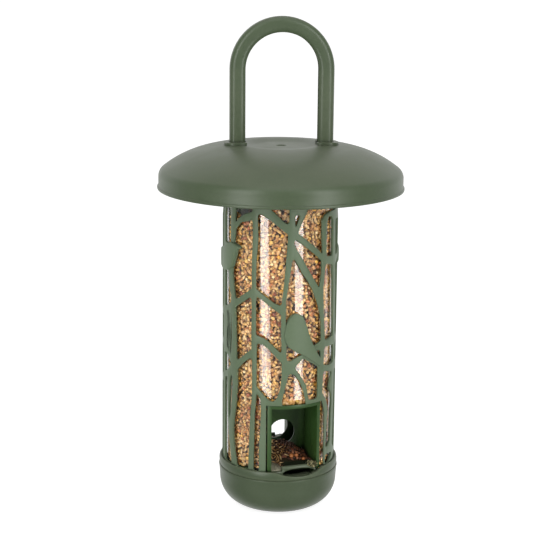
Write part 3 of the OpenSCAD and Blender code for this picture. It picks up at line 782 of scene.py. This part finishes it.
def makeRounded(node, name, width):
    piece = mergedCopy(node, name)
    editAll(piece)
    bpy.ops.mesh.dissolve_limited(angle_limit=math.radians(0.5))
    backToObject()
    for side in (1, -1):
        if node == "base_ring":
            fillPerch(piece, side)
            closeLip(piece, side)
            slopeLip(piece, side)
        if node in ("base_ring", "floor_tray"):
            archPerch(piece, side)
    easeEdges(piece, width, 2, 40)
    return piece


for node, (name, slotName, finish, width) in roundedCopies.items():
    piece = makeRounded(node, name, width)
    smoothUpTo(piece, 32)
    dress(piece, "feeder", finish, node)
print("ring, bays, tray, baffle and top ring done")


# Clear tube

tubeShape = {"outer": 44.2 * mm, "wall": 1.5 * mm, "low": 36.5 * mm, "high": 266 * mm,
             "steps": 192, "notchHalf": 21.2 * mm, "notchTop": 101.2 * mm, "edge": 0.3 * mm}


def makeTube():
    shape = tubeShape
    outer, inner, edge = shape["outer"], shape["outer"] - shape["wall"], shape["edge"]
    low, high = shape["low"], shape["high"]
    ring = [(outer, low + edge), (outer, high - edge), (outer - edge, high),
            (inner + edge, high), (inner, high - edge), (inner, low + edge),
            (inner + edge, low), (outer - edge, low), (outer, low + edge)]
    tube = spun("clearTubeWall", ring, shape["steps"])
    height = shape["notchTop"] - low + 5 * mm
    cutAway(tube, solidBlock((2 * shape["notchHalf"], 3 * outer, height),
                             (0, 0, shape["notchTop"] - height / 2)))
    return tube


tube = makeTube()
smoothUpTo(tube, 30)
dress(tube, "feeder", "clearTube", "seed_tube")
tube.visible_shadow = False
print("tube done")

for node in ("left_pin", "right_pin", "tray_screws"):
    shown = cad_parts[node]
    shown.data.materials.clear()
    shown.data.materials.append(finishes["pinSteel"])


# Seeds: each kind is modelled once, and its copies are laid against the tube and in the bays

random.seed(7)
seedKinds = {
    "sunflower": {"size": (9.5, 4.6, 3.0), "share": 0.03, "point": 0.55, "crease": 0.0,
                  "shades": [(0.035, 0.028, 0.028), (0.12, 0.09, 0.085), (0.05, 0.04, 0.045)]},
    "wheat": {"size": (6.0, 3.0, 2.6), "share": 0.40, "point": 0.75, "crease": 0.25,
              "shades": [(0.42, 0.17, 0.045), (0.60, 0.30, 0.10), (0.78, 0.48, 0.22)]},
    "oat": {"size": (6.6, 2.2, 1.8), "share": 0.26, "point": 0.5, "crease": 0.12,
            "shades": [(0.62, 0.36, 0.12), (0.85, 0.58, 0.27), (0.72, 0.44, 0.20)]},
    "milo": {"size": (4.0, 3.7, 3.1), "share": 0.55, "point": 0.95, "crease": 0.0,
             "shades": [(0.20, 0.045, 0.014), (0.42, 0.13, 0.035), (0.55, 0.22, 0.07)]},
    "corn": {"size": (4.2, 3.2, 2.4), "share": 0.25, "point": 0.7, "crease": 0.1,
             "shades": [(0.70, 0.32, 0.035), (0.85, 0.50, 0.10), (0.80, 0.58, 0.28)]},
    "millet": {"size": (2.9, 2.6, 2.2), "share": 4.5, "point": 0.9, "crease": 0.0,
               "shades": [(0.40, 0.15, 0.035), (0.72, 0.40, 0.10), (0.82, 0.52, 0.19),
                          (0.48, 0.22, 0.07), (0.88, 0.66, 0.34)]},
    "rape": {"size": (1.8, 1.8, 1.7), "share": 0.25, "point": 1.0, "crease": 0.0,
             "shades": [(0.05, 0.025, 0.018), (0.12, 0.05, 0.03)]},
    "husk": {"size": (5.6, 1.0, 0.6), "share": 0.0, "point": 0.35, "crease": 0.1,
             "shades": [(0.16, 0.07, 0.02), (0.50, 0.27, 0.09), (0.80, 0.58, 0.30)]},
    "shell": {"size": (3.8, 2.7, 1.5), "share": 0.0, "point": 0.7, "crease": 0.3,
              "shades": [(0.035, 0.014, 0.008), (0.16, 0.050, 0.022), (0.36, 0.15, 0.075)]},
    "chaff": {"size": (3.6, 0.8, 0.5), "share": 0.0, "point": 0.5, "crease": 0.1,
              "shades": [(0.020, 0.020, 0.008), (0.13, 0.12, 0.045), (0.52, 0.46, 0.25)]},
    "kernel": {"size": (5.6, 2.5, 2.1), "share": 0.0, "point": 0.65, "crease": 0.15,
               "shades": [(0.50, 0.17, 0.09), (0.66, 0.42, 0.10), (0.78, 0.48, 0.32)]},
}
darkKinds, paleKinds = ("sunflower", "milo", "rape"), ("wheat", "oat", "corn")
seedLook = {"mottle": 700.0, "spots": 0.5, "tip": 0.6, "tipFrom": 0.55, "dark": 0.45,
            "smooth": 0.26, "rough": 0.50, "relief": 0.2, "bump": 0.2 * mm}
seedsPerMesh = 3000


def seedSkin(name, kind):
    look = seedLook
    material, tree, skin = newMaterial(name + "Skin")
    tone = put(tree, "ShaderNodeAttribute", attribute_name="tone").outputs["Fac"]
    along = put(tree, "ShaderNodeAttribute", attribute_name="along").outputs["Fac"]
    mottle = grainy(tree, placeOn(tree), look["mottle"], 3.0)
    dark = tuple(look["dark"] * c for c in kind["shades"][0])
    spots = ranged(tree, mottle, 0.5, 0.75, 0.0, look["spots"])
    tip = ranged(tree, along, look["tipFrom"], 1.0, 0.0, look["tip"])
    colour = blended(tree, spots, shades(tree, tone, kind["shades"]), dark)
    feed(tree, skin, {"Base Color": blended(tree, tip, colour, dark),
                      "Roughness": ranged(tree, mottle, 0.0, 1.0, look["smooth"], look["rough"]),
                      "Normal": bumpy(tree, mottle, look["relief"], look["bump"])})
    return material


def modelGrain(name, kind):
    # one seed, its length along X, from a ball with drawn-in ends and a crease
    bpy.ops.mesh.primitive_uv_sphere_add(segments=8, ring_count=5, radius=0.5,
                                         rotation=(0, math.pi / 2, 0))
    grain = bpy.context.object
    grain.name = name
    settle(grain)
    editAll(grain)
    bpy.ops.mesh.select_all(action="DESELECT")
    editChosen(grain, lambda corner: abs(corner.x) > 0.3)
    bpy.ops.transform.resize(value=(1, kind["point"], kind["point"]), center_override=(0, 0, 0))
    editChosen(grain, lambda corner: corner.z > 0.3 and abs(corner.y) < 0.1)
    bpy.ops.transform.translate(value=(0, 0, -kind["crease"]))
    backToObject()
    points = np.array([v.co for v in grain.data.vertices])
    faces = [tuple(p.vertices) for p in grain.data.polygons]
    bpy.data.objects.remove(grain)
    return points, faces


grainModels = {name: modelGrain(name, kind) for name, kind in seedKinds.items()}
seedPlaces = {name: [] for name in seedKinds}


def addSeed(name, centre, normal, spin, tilt):
    # lays one seed flat on a surface with the given normal, in a tone and size of its own
    seedPlaces[name].append((centre, normal, spin, tilt, random.random(),
                             random.uniform(0.82, 1.15)))


def rotationOf(normal, spin, tilt):
    upward = Vector(normal).normalized()
    side = upward.orthogonal().normalized()
    turn = Matrix.Rotation(spin, 3, upward)
    long = turn @ side
    lean = Matrix.Rotation(tilt, 3, long.cross(upward))
    long, upward = lean @ long, lean @ upward
    return np.array([long, upward.cross(long), upward]).T


def pourSeeds(name):
    # joins the copies of one kind into meshes of a few thousand seeds each
    kind, (points, faces) = seedKinds[name], grainModels[name]
    size = np.array(kind["size"]) * mm
    skin = seedSkin(name, kind)
    places = seedPlaces[name]
    for part in range(0, len(places), seedsPerMesh):
        corners, polygons, tones, alongs = [], [], [], []
        for centre, normal, spin, tilt, tone, growth in places[part:part + seedsPerMesh]:
            base = len(corners) * len(points)
            turned = (points * size * growth) @ rotationOf(normal, spin, tilt).T
            corners.append(turned + np.array(centre))
            polygons.extend([tuple(base + v for v in face) for face in faces])
            tones.append(np.full(len(points), tone))
            alongs.append(points[:, 0] * 2)
        mesh = bpy.data.meshes.new(name + "Pour")
        mesh.from_pydata(np.concatenate(corners).tolist(), [], polygons)
        for label, values in (("tone", tones), ("along", alongs)):
            field = mesh.attributes.new(label, "FLOAT", "POINT")
            field.data.foreach_set("value", np.concatenate(values).astype(np.float32))
        piece = bpy.data.objects.new("%sSeeds%d" % (name, part // seedsPerMesh + 1), mesh)
        bpy.context.scene.collection.objects.link(piece)
        workOn(piece)
        bpy.ops.object.shade_smooth()
        piece.data.materials.append(skin)
        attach(piece, "feeder")


pocket = {"low": 239.8 * mm, "halfDegrees": 13.5}
fill = {"low": 40.5 * mm, "high": 258.5 * mm, "radius": 42.6 * mm, "sag": 9 * mm,
        "sagFrom": 38, "sagTo": 62, "layers": {0.0: 6, 1.9: 3, 3.7: 3}, "crowd": 0.80,
        "density": 0.055, "cell": 5 * mm, "drift": (1.6, 30, 400), "darkFrom": -0.05,
        "paleTo": 0.02, "paleLost": 0.8, "gap": 0.5, "tilt": 0.35}
bayBox = {"half": 22.6 * mm, "top": 96.4 * mm, "back": 9.7 * mm, "front": 38.9 * mm,
          "floor": 39.5 * mm, "innerHalf": 19.5 * mm, "wallHalf": 21.1 * mm,
          "reach": 31 * mm}


def wallIsFree(angle, height, reach):
    # whether a seed may lie against the tube there: not on a bay and not on a leg's pocket
    sag = fill["sag"] * blendOver(-math.degrees(angle), fill["sagFrom"], fill["sagTo"])
    if height > fill["high"] - sag:
        return False
    x = math.sin(angle) * fill["radius"]
    inBay = abs(x) < bayBox["half"] + reach and height < bayBox["top"] + 0.7 * reach
    legAngle = (math.degrees(angle) - 90 - handleShape["turn"]) % 180
    nearLeg = min(legAngle, 180 - legAngle) < pocket["halfDegrees"]
    return not inBay and not (nearLeg and height > pocket["low"] - reach)


def overlaps(spots, across, along, reach):
    return any((a - across) ** 2 + (b - along) ** 2 < (r + reach) ** 2 for a, b, r in spots)


def crowdWall(depth, tries):
    # drops seeds on the unrolled wall, large kinds first, each where nothing lies yet
    radius, cell = fill["radius"] - depth, fill["cell"]
    wide, high, deep = fill["drift"]
    taken = {}
    area = 2 * math.pi * radius * (fill["high"] - fill["low"])
    for name, kind in seedKinds.items():
        length, width, thick = (s * mm for s in kind["size"])
        reach = (length + width) / 4 * fill["crowd"]
        wanted = int(kind["share"] * fill["density"] * area / (math.pi * reach * reach) * tries)
        for _ in range(wanted):
            angle = random.uniform(-math.pi, math.pi)
            height = random.uniform(fill["low"], fill["high"])
            if not wallIsFree(angle, height, width / 2):
                continue
            drift = noise.noise(Vector((math.sin(angle) * wide, math.cos(angle) * wide,
                                        height * high + depth * deep)))
            if name in darkKinds and drift < fill["darkFrom"]:
                continue
            if (name in paleKinds and drift > fill["paleTo"]
                    and random.random() < fill["paleLost"]):
                continue
            across = angle * radius
            column, row = int(across // cell), int(height // cell)
            near = [spot for i in (-1, 0, 1) for j in (-1, 0, 1)
                    for spot in taken.get((column + i, row + j), ())]
            if overlaps(near, across, height, reach):
                continue
            taken.setdefault((column, row), []).append((across, height, reach))
            seat = radius - thick / 2 - random.uniform(0, fill["gap"]) * mm
            addSeed(name, around(math.degrees(angle), seat, height),
                    around(math.degrees(angle), 1, 0), random.uniform(0, math.pi),
                    random.uniform(-fill["tilt"], fill["tilt"]))


# Heaps in the bays: x and depth run from the bay's middle and its back wall

heapShape = {"high": 17.5 * mm, "rearHigh": 9.5 * mm, "run": 30 * mm, "fall": 0.85,
             "crestX": -6 * mm, "crestHalf": 16 * mm, "slump": 0.34, "slumpTo": 1.35,
             "lowFrom": -16 * mm, "lowTo": -4 * mm, "bulge": 1.3 * mm, "bulges": 150,
             "dust": 1.7 * mm, "ledge": 4.3 * mm, "ledgeLeft": -7.5 * mm,
             "ledgeRight": 17 * mm, "ledgeDepth": 22.5 * mm, "grid": (44, 40),
             "bareFree": 0.25, "ledgeFree": 0.3, "lean": (0.3, 0.6), "tilt": 0.45,
             "flecks": 900.0, "fleck": (0.02, 0.012, 0.007),
             "bare": {"x": -19.5 * mm, "runX": 13 * mm, "depth": 34 * mm, "runDepth": 21 * mm,
                      "from": 0.85, "to": 1.2},
             # the shade cover is painted shade on the shelf behind the perch bar
             "cover": {"seed": (0.030, 0.013, 0.007), "dust": (0.55, 0.52, 0.38),
                       "shade": (0.006, 0.015, 0.004)}}
# counts, and middles and spreads in millimetres
bayMix = {"husk": {"count": 420, "x": -13.5, "spreadX": 5.5, "depth": 15.0, "spread": 6.0,
                   "reach": 0.75},
          "milo": {"count": 9, "x": 6.0, "spreadX": 7.0, "depth": 16.0, "spread": 4.0,
                   "reach": 1.5},
          # painted shade: dark rape seeds crowd the back wall, darkening the back of the heap
          "rape": {"count": 500, "x": -6.0, "spreadX": 12.0, "depth": 1.0, "spread": 4.0,
                   "reach": 0.6},
          "shell": {"count": 3000, "x": 2.0, "spreadX": 16.0, "depth": 14.0, "spread": 11.0,
                    "reach": 0.95}}


def bareCorner(x, depth):
    # 1 on the bare, dusty corner at the front left of the tray, 0 where the heap lies
    bare = heapShape["bare"]
    reach = (x - bare["x"]) / bare["runX"] + (bare["depth"] - depth) / bare["runDepth"]
    return 1 - blendOver(reach, bare["from"], bare["to"])


def ledgeShare(x, depth):
    # 1 on the shelf behind the perch bar, level with the bar's top, where the heap's cover paints
    # shade
    left, right, deep = (heapShape[key] for key in ("ledgeLeft", "ledgeRight", "ledgeDepth"))
    across = blendOver(x, left - 2 * mm, left + 2 * mm)
    across *= 1 - blendOver(x, right - 1 * mm, right + 2 * mm)
    return across * blendOver(depth, deep - 4 * mm, deep)


def heapHeight(x, y, side):
    # the heap that has run out of the feed hole over the tray; the rear bay's is lower
    shape = heapShape
    depth = -y - bayBox["back"]
    bulge = shape["bulge"] * noise.noise(Vector((x * shape["bulges"], y * shape["bulges"], 3.1)))
    high = shape["high"] if side == 1 else shape["rearHigh"]
    slide = high * max(0, 1 - depth / shape["run"]) ** shape["fall"]
    aside = min(abs(x - shape["crestX"]) / shape["crestHalf"], shape["slumpTo"])
    low = shape["ledge"] * blendOver(x, shape["lowFrom"], shape["lowTo"])
    low *= blendOver(depth, 2 * mm, 18 * mm)
    heap = max(slide * (1 - shape["slump"] * aside ** 2), low)
    heap += bulge * blendOver(depth, 0, 6 * mm)
    bare, ledge = bareCorner(x, depth), ledgeShare(x, depth)
    heap = heap * (1 - bare) + shape["dust"] * bare
    return heap * (1 - ledge) + shape["ledge"] * ledge


def crowdBay(side):
    # lays seeds over the heap in one bay; side is 1 for the front and -1 for the rear
    taken = []
    for name, mix in bayMix.items():
        _, width, thick = (s * mm for s in seedKinds[name]["size"])
        reach, room = mix["reach"] * mm, bayBox["innerHalf"] - width / 2
        aside, ahead = heapShape["lean"]
        for _ in range(mix["count"]):
            x = random.gauss(mix["x"], mix["spreadX"]) * mm
            depth = random.gauss(mix["depth"], mix["spread"]) * mm
            if abs(x) > room or not width / 2 < depth < bayBox["reach"]:
                continue
            if (bareCorner(x, depth) > heapShape["bareFree"]
                    or ledgeShare(x, depth) > heapShape["ledgeFree"]):
                continue
            if overlaps(taken, x, depth, reach):
                continue
            taken.append((x, depth, reach))
            y = -depth - bayBox["back"]
            lift = bayBox["floor"] + heapHeight(x, y, side) + thick * random.uniform(0.2, 0.6)
            slope = Vector((random.uniform(-aside, aside), random.uniform(-ahead, 0.0) * side, 1))
            addSeed(name, Vector((x * side, y * side, lift)), slope,
                    random.uniform(0, math.pi),
                    random.uniform(-heapShape["tilt"], heapShape["tilt"]))


def heapSkin():
    material, tree, skin = newMaterial("heapCover")
    cover = put(tree, "ShaderNodeAttribute", attribute_name="cover").outputs["Color"]
    fine = grainy(tree, placeOn(tree), heapShape["flecks"], 4.0)
    flecks = ranged(tree, fine, 0.40, 0.70, 0.0, 0.6)
    feed(tree, skin, {"Base Color": blended(tree, flecks, cover, heapShape["fleck"]),
                      "Roughness": 0.95, "Specular IOR Level": 0.15,
                      "Normal": bumpy(tree, fine, 0.7, 0.6 * mm)})
    return material


def makeHeap(side, skin):
    # the solid heap under the loose seeds of one bay, with dust on its bare corner and painted
    # shade on the shelf behind the perch bar
    columns, rows = heapShape["grid"]
    bpy.ops.mesh.primitive_grid_add(x_subdivisions=columns, y_subdivisions=rows, size=2)
    heap = bpy.context.object
    heap.name = "frontHeap" if side == 1 else "rearHeap"
    half, near, far = bayBox["innerHalf"] - 0.3 * mm, bayBox["back"] + 0.4 * mm, bayBox["front"]
    seed, dust, shade = (Vector(heapShape["cover"][key]) for key in ("seed", "dust", "shade"))
    colours = []
    for vertex in heap.data.vertices:
        x = vertex.co.x * half
        y = -(near + far) / 2 + vertex.co.y * (far - near) / 2
        bare, ledge = bareCorner(x, -y - bayBox["back"]), ledgeShare(x, -y - bayBox["back"])
        # painted shade: the shelf behind the perch bar is coloured near black
        colours += [*seed.lerp(dust, bare).lerp(shade, ledge), 1]
        top = bayBox["floor"] + max(heapHeight(x, y, side), 0) + 0.05 * mm
        vertex.co = (x * side, y * side, top)
    field = heap.data.color_attributes.new("cover", "FLOAT_COLOR", "POINT")
    field.data.foreach_set("color", colours)
    editAll(heap)
    bpy.ops.mesh.extrude_region_move(TRANSFORM_OT_translate={"value": (0, 0, -1 * mm)})
    bpy.ops.transform.resize(value=(1, 1, 0), center_override=(0, 0, bayBox["floor"] + 0.02 * mm))
    faceOut()
    smoothUpTo(heap, 60)
    heap.data.materials.append(skin)
    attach(heap, "feeder")


# Seeds that lie loose beside the heaps, in millimetres and degrees

chaffSpill = {"count": 150, "x": 15.5, "spreadX": 1.9, "right": 19.0, "depth": 41.0,
              "spread": 2.0, "back": 37.0, "front": 44.0, "seat": 44.2, "pile": 1.9,
              "pileX": 15.8, "pileHalf": 4.5, "fall": 1.6, "fallFrom": 42.6}
kernelRows = {"rows": 3, "inRow": 11, "first": -19, "step": 3.6, "stray": 1.4,
              "inner": 42.6, "outer": 43.6, "low": 98.4, "rise": 1.7, "strayUp": 0.4}


def spillChaff(side):
    # fine chaff that has blown onto the right end of the perch bar
    spill = chaffSpill
    for _ in range(spill["count"]):
        x = min(random.gauss(spill["x"], spill["spreadX"]), spill["right"])
        y = -min(max(random.gauss(spill["depth"], spill["spread"]), spill["back"]),
                 spill["front"])
        pile = spill["pile"] * max(0, 1 - ((x - spill["pileX"]) / spill["pileHalf"]) ** 2)
        fall = spill["fall"] * blendOver(-y, spill["fallFrom"], spill["front"])
        lift = spill["seat"] + random.random() * pile - fall
        normal = Vector((random.uniform(-0.7, 0.7), random.uniform(-0.9, 0.4) * side, 1))
        addSeed("chaff", Vector((x * side, y * side, lift)) * mm, normal,
                random.uniform(0, math.pi), random.uniform(-0.5, 0.5))


def spillKernels(side):
    # large seeds that lie on the bay's rim, in the slot under the tube's edge
    lay = kernelRows
    for i in range(lay["rows"]):
        for j in range(lay["inRow"]):
            azimuth = lay["first"] + lay["step"] * j + random.uniform(-lay["stray"], lay["stray"])
            out = random.uniform(lay["inner"], lay["outer"])
            height = lay["low"] + lay["rise"] * i + random.uniform(-lay["strayUp"], lay["strayUp"])
            place = around(azimuth, out * mm, height * mm)
            place.x, place.y = place.x * side, place.y * side
            upright = math.pi / 2 if j % 3 == 0 else 0
            addSeed("kernel", place, around(azimuth, side, 0),
                    random.uniform(-0.5, 0.5) + upright, random.uniform(-0.3, 0.3))


bedShape = {"layers": 5.4 * mm, "neck": 25.5 * mm, "underPocket": 3 * mm, "crown": 1 * mm,
            "steps": 72, "room": 95.5 * mm, "roomMiddle": 60 * mm, "cells": 420.0,
            "shades": [(0.16, 0.075, 0.025), (0.07, 0.03, 0.012), (0.015, 0.008, 0.005)]}


def makeSeedBed():
    # the body of the seed behind the layers that are laid out one by one
    shape = bedShape
    low, high, top = bayBox["floor"] + 0.2 * mm, pocket["low"] - shape["underPocket"], fill["high"]
    deep, neck, crown = fill["radius"] - shape["layers"], shape["neck"], shape["crown"]
    bed = spun("seedBed", [(0, low), (deep, low), (deep, high), (neck, high + crown),
                           (neck, top), (0, top + crown)], shape["steps"])
    cutAway(bed, solidBlock((2 * bayBox["wallHalf"] + 1 * mm, 3 * fill["radius"], shape["room"]),
                            (0, 0, shape["roomMiddle"])))
    material, tree, skin = newMaterial("deepSeed")
    cells = put(tree, "ShaderNodeTexVoronoi",
                {"Vector": placeOn(tree), "Scale": shape["cells"]}).outputs["Distance"]
    feed(tree, skin, {"Base Color": shades(tree, cells, shape["shades"]), "Roughness": 0.8,
                      "Normal": bumpy(tree, cells, 0.8, 1 * mm)})
    bed.data.materials.append(material)
    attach(bed, "feeder")


for depth, tries in fill["layers"].items():
    crowdWall(depth * mm, tries)
for side in (1, -1):
    crowdBay(side)
    spillChaff(side)
    spillKernels(side)
for name in seedKinds:
    pourSeeds(name)
makeSeedBed()
heapCover = heapSkin()
for side in (1, -1):
    makeHeap(side, heapCover)
print("seeds poured:", {name: len(places) for name, places in seedPlaces.items()})


# Floor, lights and camera

studio = {"floorSize": 30.0, "aimHeight": 195.2 * mm, "fill": 0.21, "behind": 1.0, "white": 1.0,
          "bounce": 0.56, "floorSeen": 0.85, "lampAim": 200 * mm, "glint": (1.0, 0.94, 0.91)}
softBoxes = {
    "left": {"azimuth": -52.0, "height": 0.45, "distance": 1.35, "size": (0.43, 1.7),
             "watts": 11.0},
    "right": {"azimuth": 22.0, "height": 0.45, "distance": 1.35, "size": (0.43, 1.7),
              "watts": 11.0},
    "leftGlint": {"azimuth": -49.5, "height": -0.1, "distance": 1.36, "lean": 32.0,
                  "size": (0.37, 2.0), "watts": 19.0, "glintOnly": True},
    "rightGlint": {"azimuth": 22.0, "height": -0.1, "distance": 1.36, "lean": 20.0,
                   "size": (0.42, 2.0), "watts": 21.0, "glintOnly": True},
    "sideGlint": {"azimuth": 106.0, "height": 0.2, "distance": 1.36, "size": (0.55, 2.2),
                  "watts": 4.0, "glintOnly": True},
    "top": {"azimuth": -20.0, "height": 1.6, "distance": 0.5, "size": (1.4, 1.4),
            "watts": 6.0}}
cameraSet = {"distance": 1.1967, "azimuth": -18.5, "elevation": 13.06, "lens": 95.3,
             "sensor": 36.0, "aimLeft": 4.0 * mm, "roll": 0.57}


def makeFloor():
    # a white floor that the camera sees as plain white, with only a soft contact shadow
    bpy.ops.mesh.primitive_plane_add(size=studio["floorSize"], location=(0, 0, 0))
    floor = bpy.context.object
    floor.name = "studioFloor"
    material, tree, skin = newMaterial("studioWhite")
    seen = put(tree, "ShaderNodeLightPath").outputs["Is Camera Ray"]
    feed(tree, skin, {"Base Color": (0.5, 0.5, 0.5, 1), "Roughness": 0.9,
                      "Specular IOR Level": 0.0, "Emission Color": (1, 1, 1, 1),
                      "Emission Strength": ranged(tree, seen, 0.0, 1.0, studio["bounce"],
                                                  studio["floorSeen"])})
    floor.data.materials.append(material)
    floor.visible_glossy = False


# the glint lamps light the clear tube alone
clearPieces = bpy.data.collections.new("clearPieces")
clearPieces.objects.link(tube)


def makeSoftBox(name, box):
    lamp = bpy.data.lights.new(name + "Box", "AREA")
    lamp.shape = "RECTANGLE"
    lamp.size, lamp.size_y = box["size"]
    lamp.energy = box["watts"]
    holder = bpy.data.objects.new(name + "Box", lamp)
    bpy.context.scene.collection.objects.link(holder)
    holder.location = around(box["azimuth"], box["distance"], box["height"])
    aim = Vector((0, 0, studio["lampAim"])) - holder.location
    holder.rotation_mode = "QUATERNION"
    lean = Quaternion((0, 0, 1), math.radians(box.get("lean", 0.0)))
    holder.rotation_quaternion = aim.to_track_quat("-Z", "Y") @ lean
    if box.get("glintOnly", False):
        lamp.color = studio["glint"]
        holder.light_linking.receiver_collection = clearPieces


def makeWorld():
    # white to the camera; as light it is bright behind the feeder and dim on the camera's side
    world = bpy.data.worlds.new("studioAir")
    world.use_nodes = True
    tree = world.node_tree
    place = put(tree, "ShaderNodeTexCoord").outputs["Generated"]
    facing = put(tree, "ShaderNodeVectorMath",
                 {0: place, 1: around(180 + cameraSet["azimuth"], 1, 0)},
                 operation="DOT_PRODUCT").outputs["Value"]
    air = tree.nodes["Background"]
    feed(tree, air.inputs, {"Color": (1, 1, 1, 1),
                            "Strength": ranged(tree, facing, 0.0, 0.62, studio["fill"],
                                               studio["behind"])})
    seen = put(tree, "ShaderNodeBackground", {"Color": (1, 1, 1, 1),
                                              "Strength": studio["white"]})
    path = put(tree, "ShaderNodeLightPath").outputs["Is Camera Ray"]
    choice = put(tree, "ShaderNodeMixShader", {0: path, 1: air.outputs[0], 2: seen.outputs[0]})
    feed(tree, tree.nodes["World Output"].inputs, {"Surface": choice.outputs[0]})
    bpy.context.scene.world = world


def makeCamera():
    place = cameraSet
    a, e = math.radians(place["azimuth"]), math.radians(place["elevation"])
    back = Vector((math.sin(a) * math.cos(e), -math.cos(a) * math.cos(e), math.sin(e)))
    right = Vector((math.cos(a), math.sin(a), 0))
    target = Vector((0, 0, studio["aimHeight"]))
    data = bpy.data.cameras.new("photoCamera")
    data.lens, data.sensor_width = place["lens"], place["sensor"]
    camera = bpy.data.objects.new("photoCamera", data)
    bpy.context.scene.collection.objects.link(camera)
    camera.location = target + back * place["distance"]
    aim = target - right * place["aimLeft"] - camera.location
    roll = Matrix.Rotation(math.radians(place["roll"]), 3, "Z")
    turn = aim.to_track_quat("-Z", "Y").to_matrix() @ roll
    camera.rotation_mode = "QUATERNION"
    camera.rotation_quaternion = turn.to_quaternion()
    bpy.context.scene.camera = camera


deselectAll()
makeFloor()
for name, box in softBoxes.items():
    makeSoftBox(name, box)
makeWorld()
makeCamera()
bpy.context.scene.view_settings.view_transform = "Standard"
print("studio set")
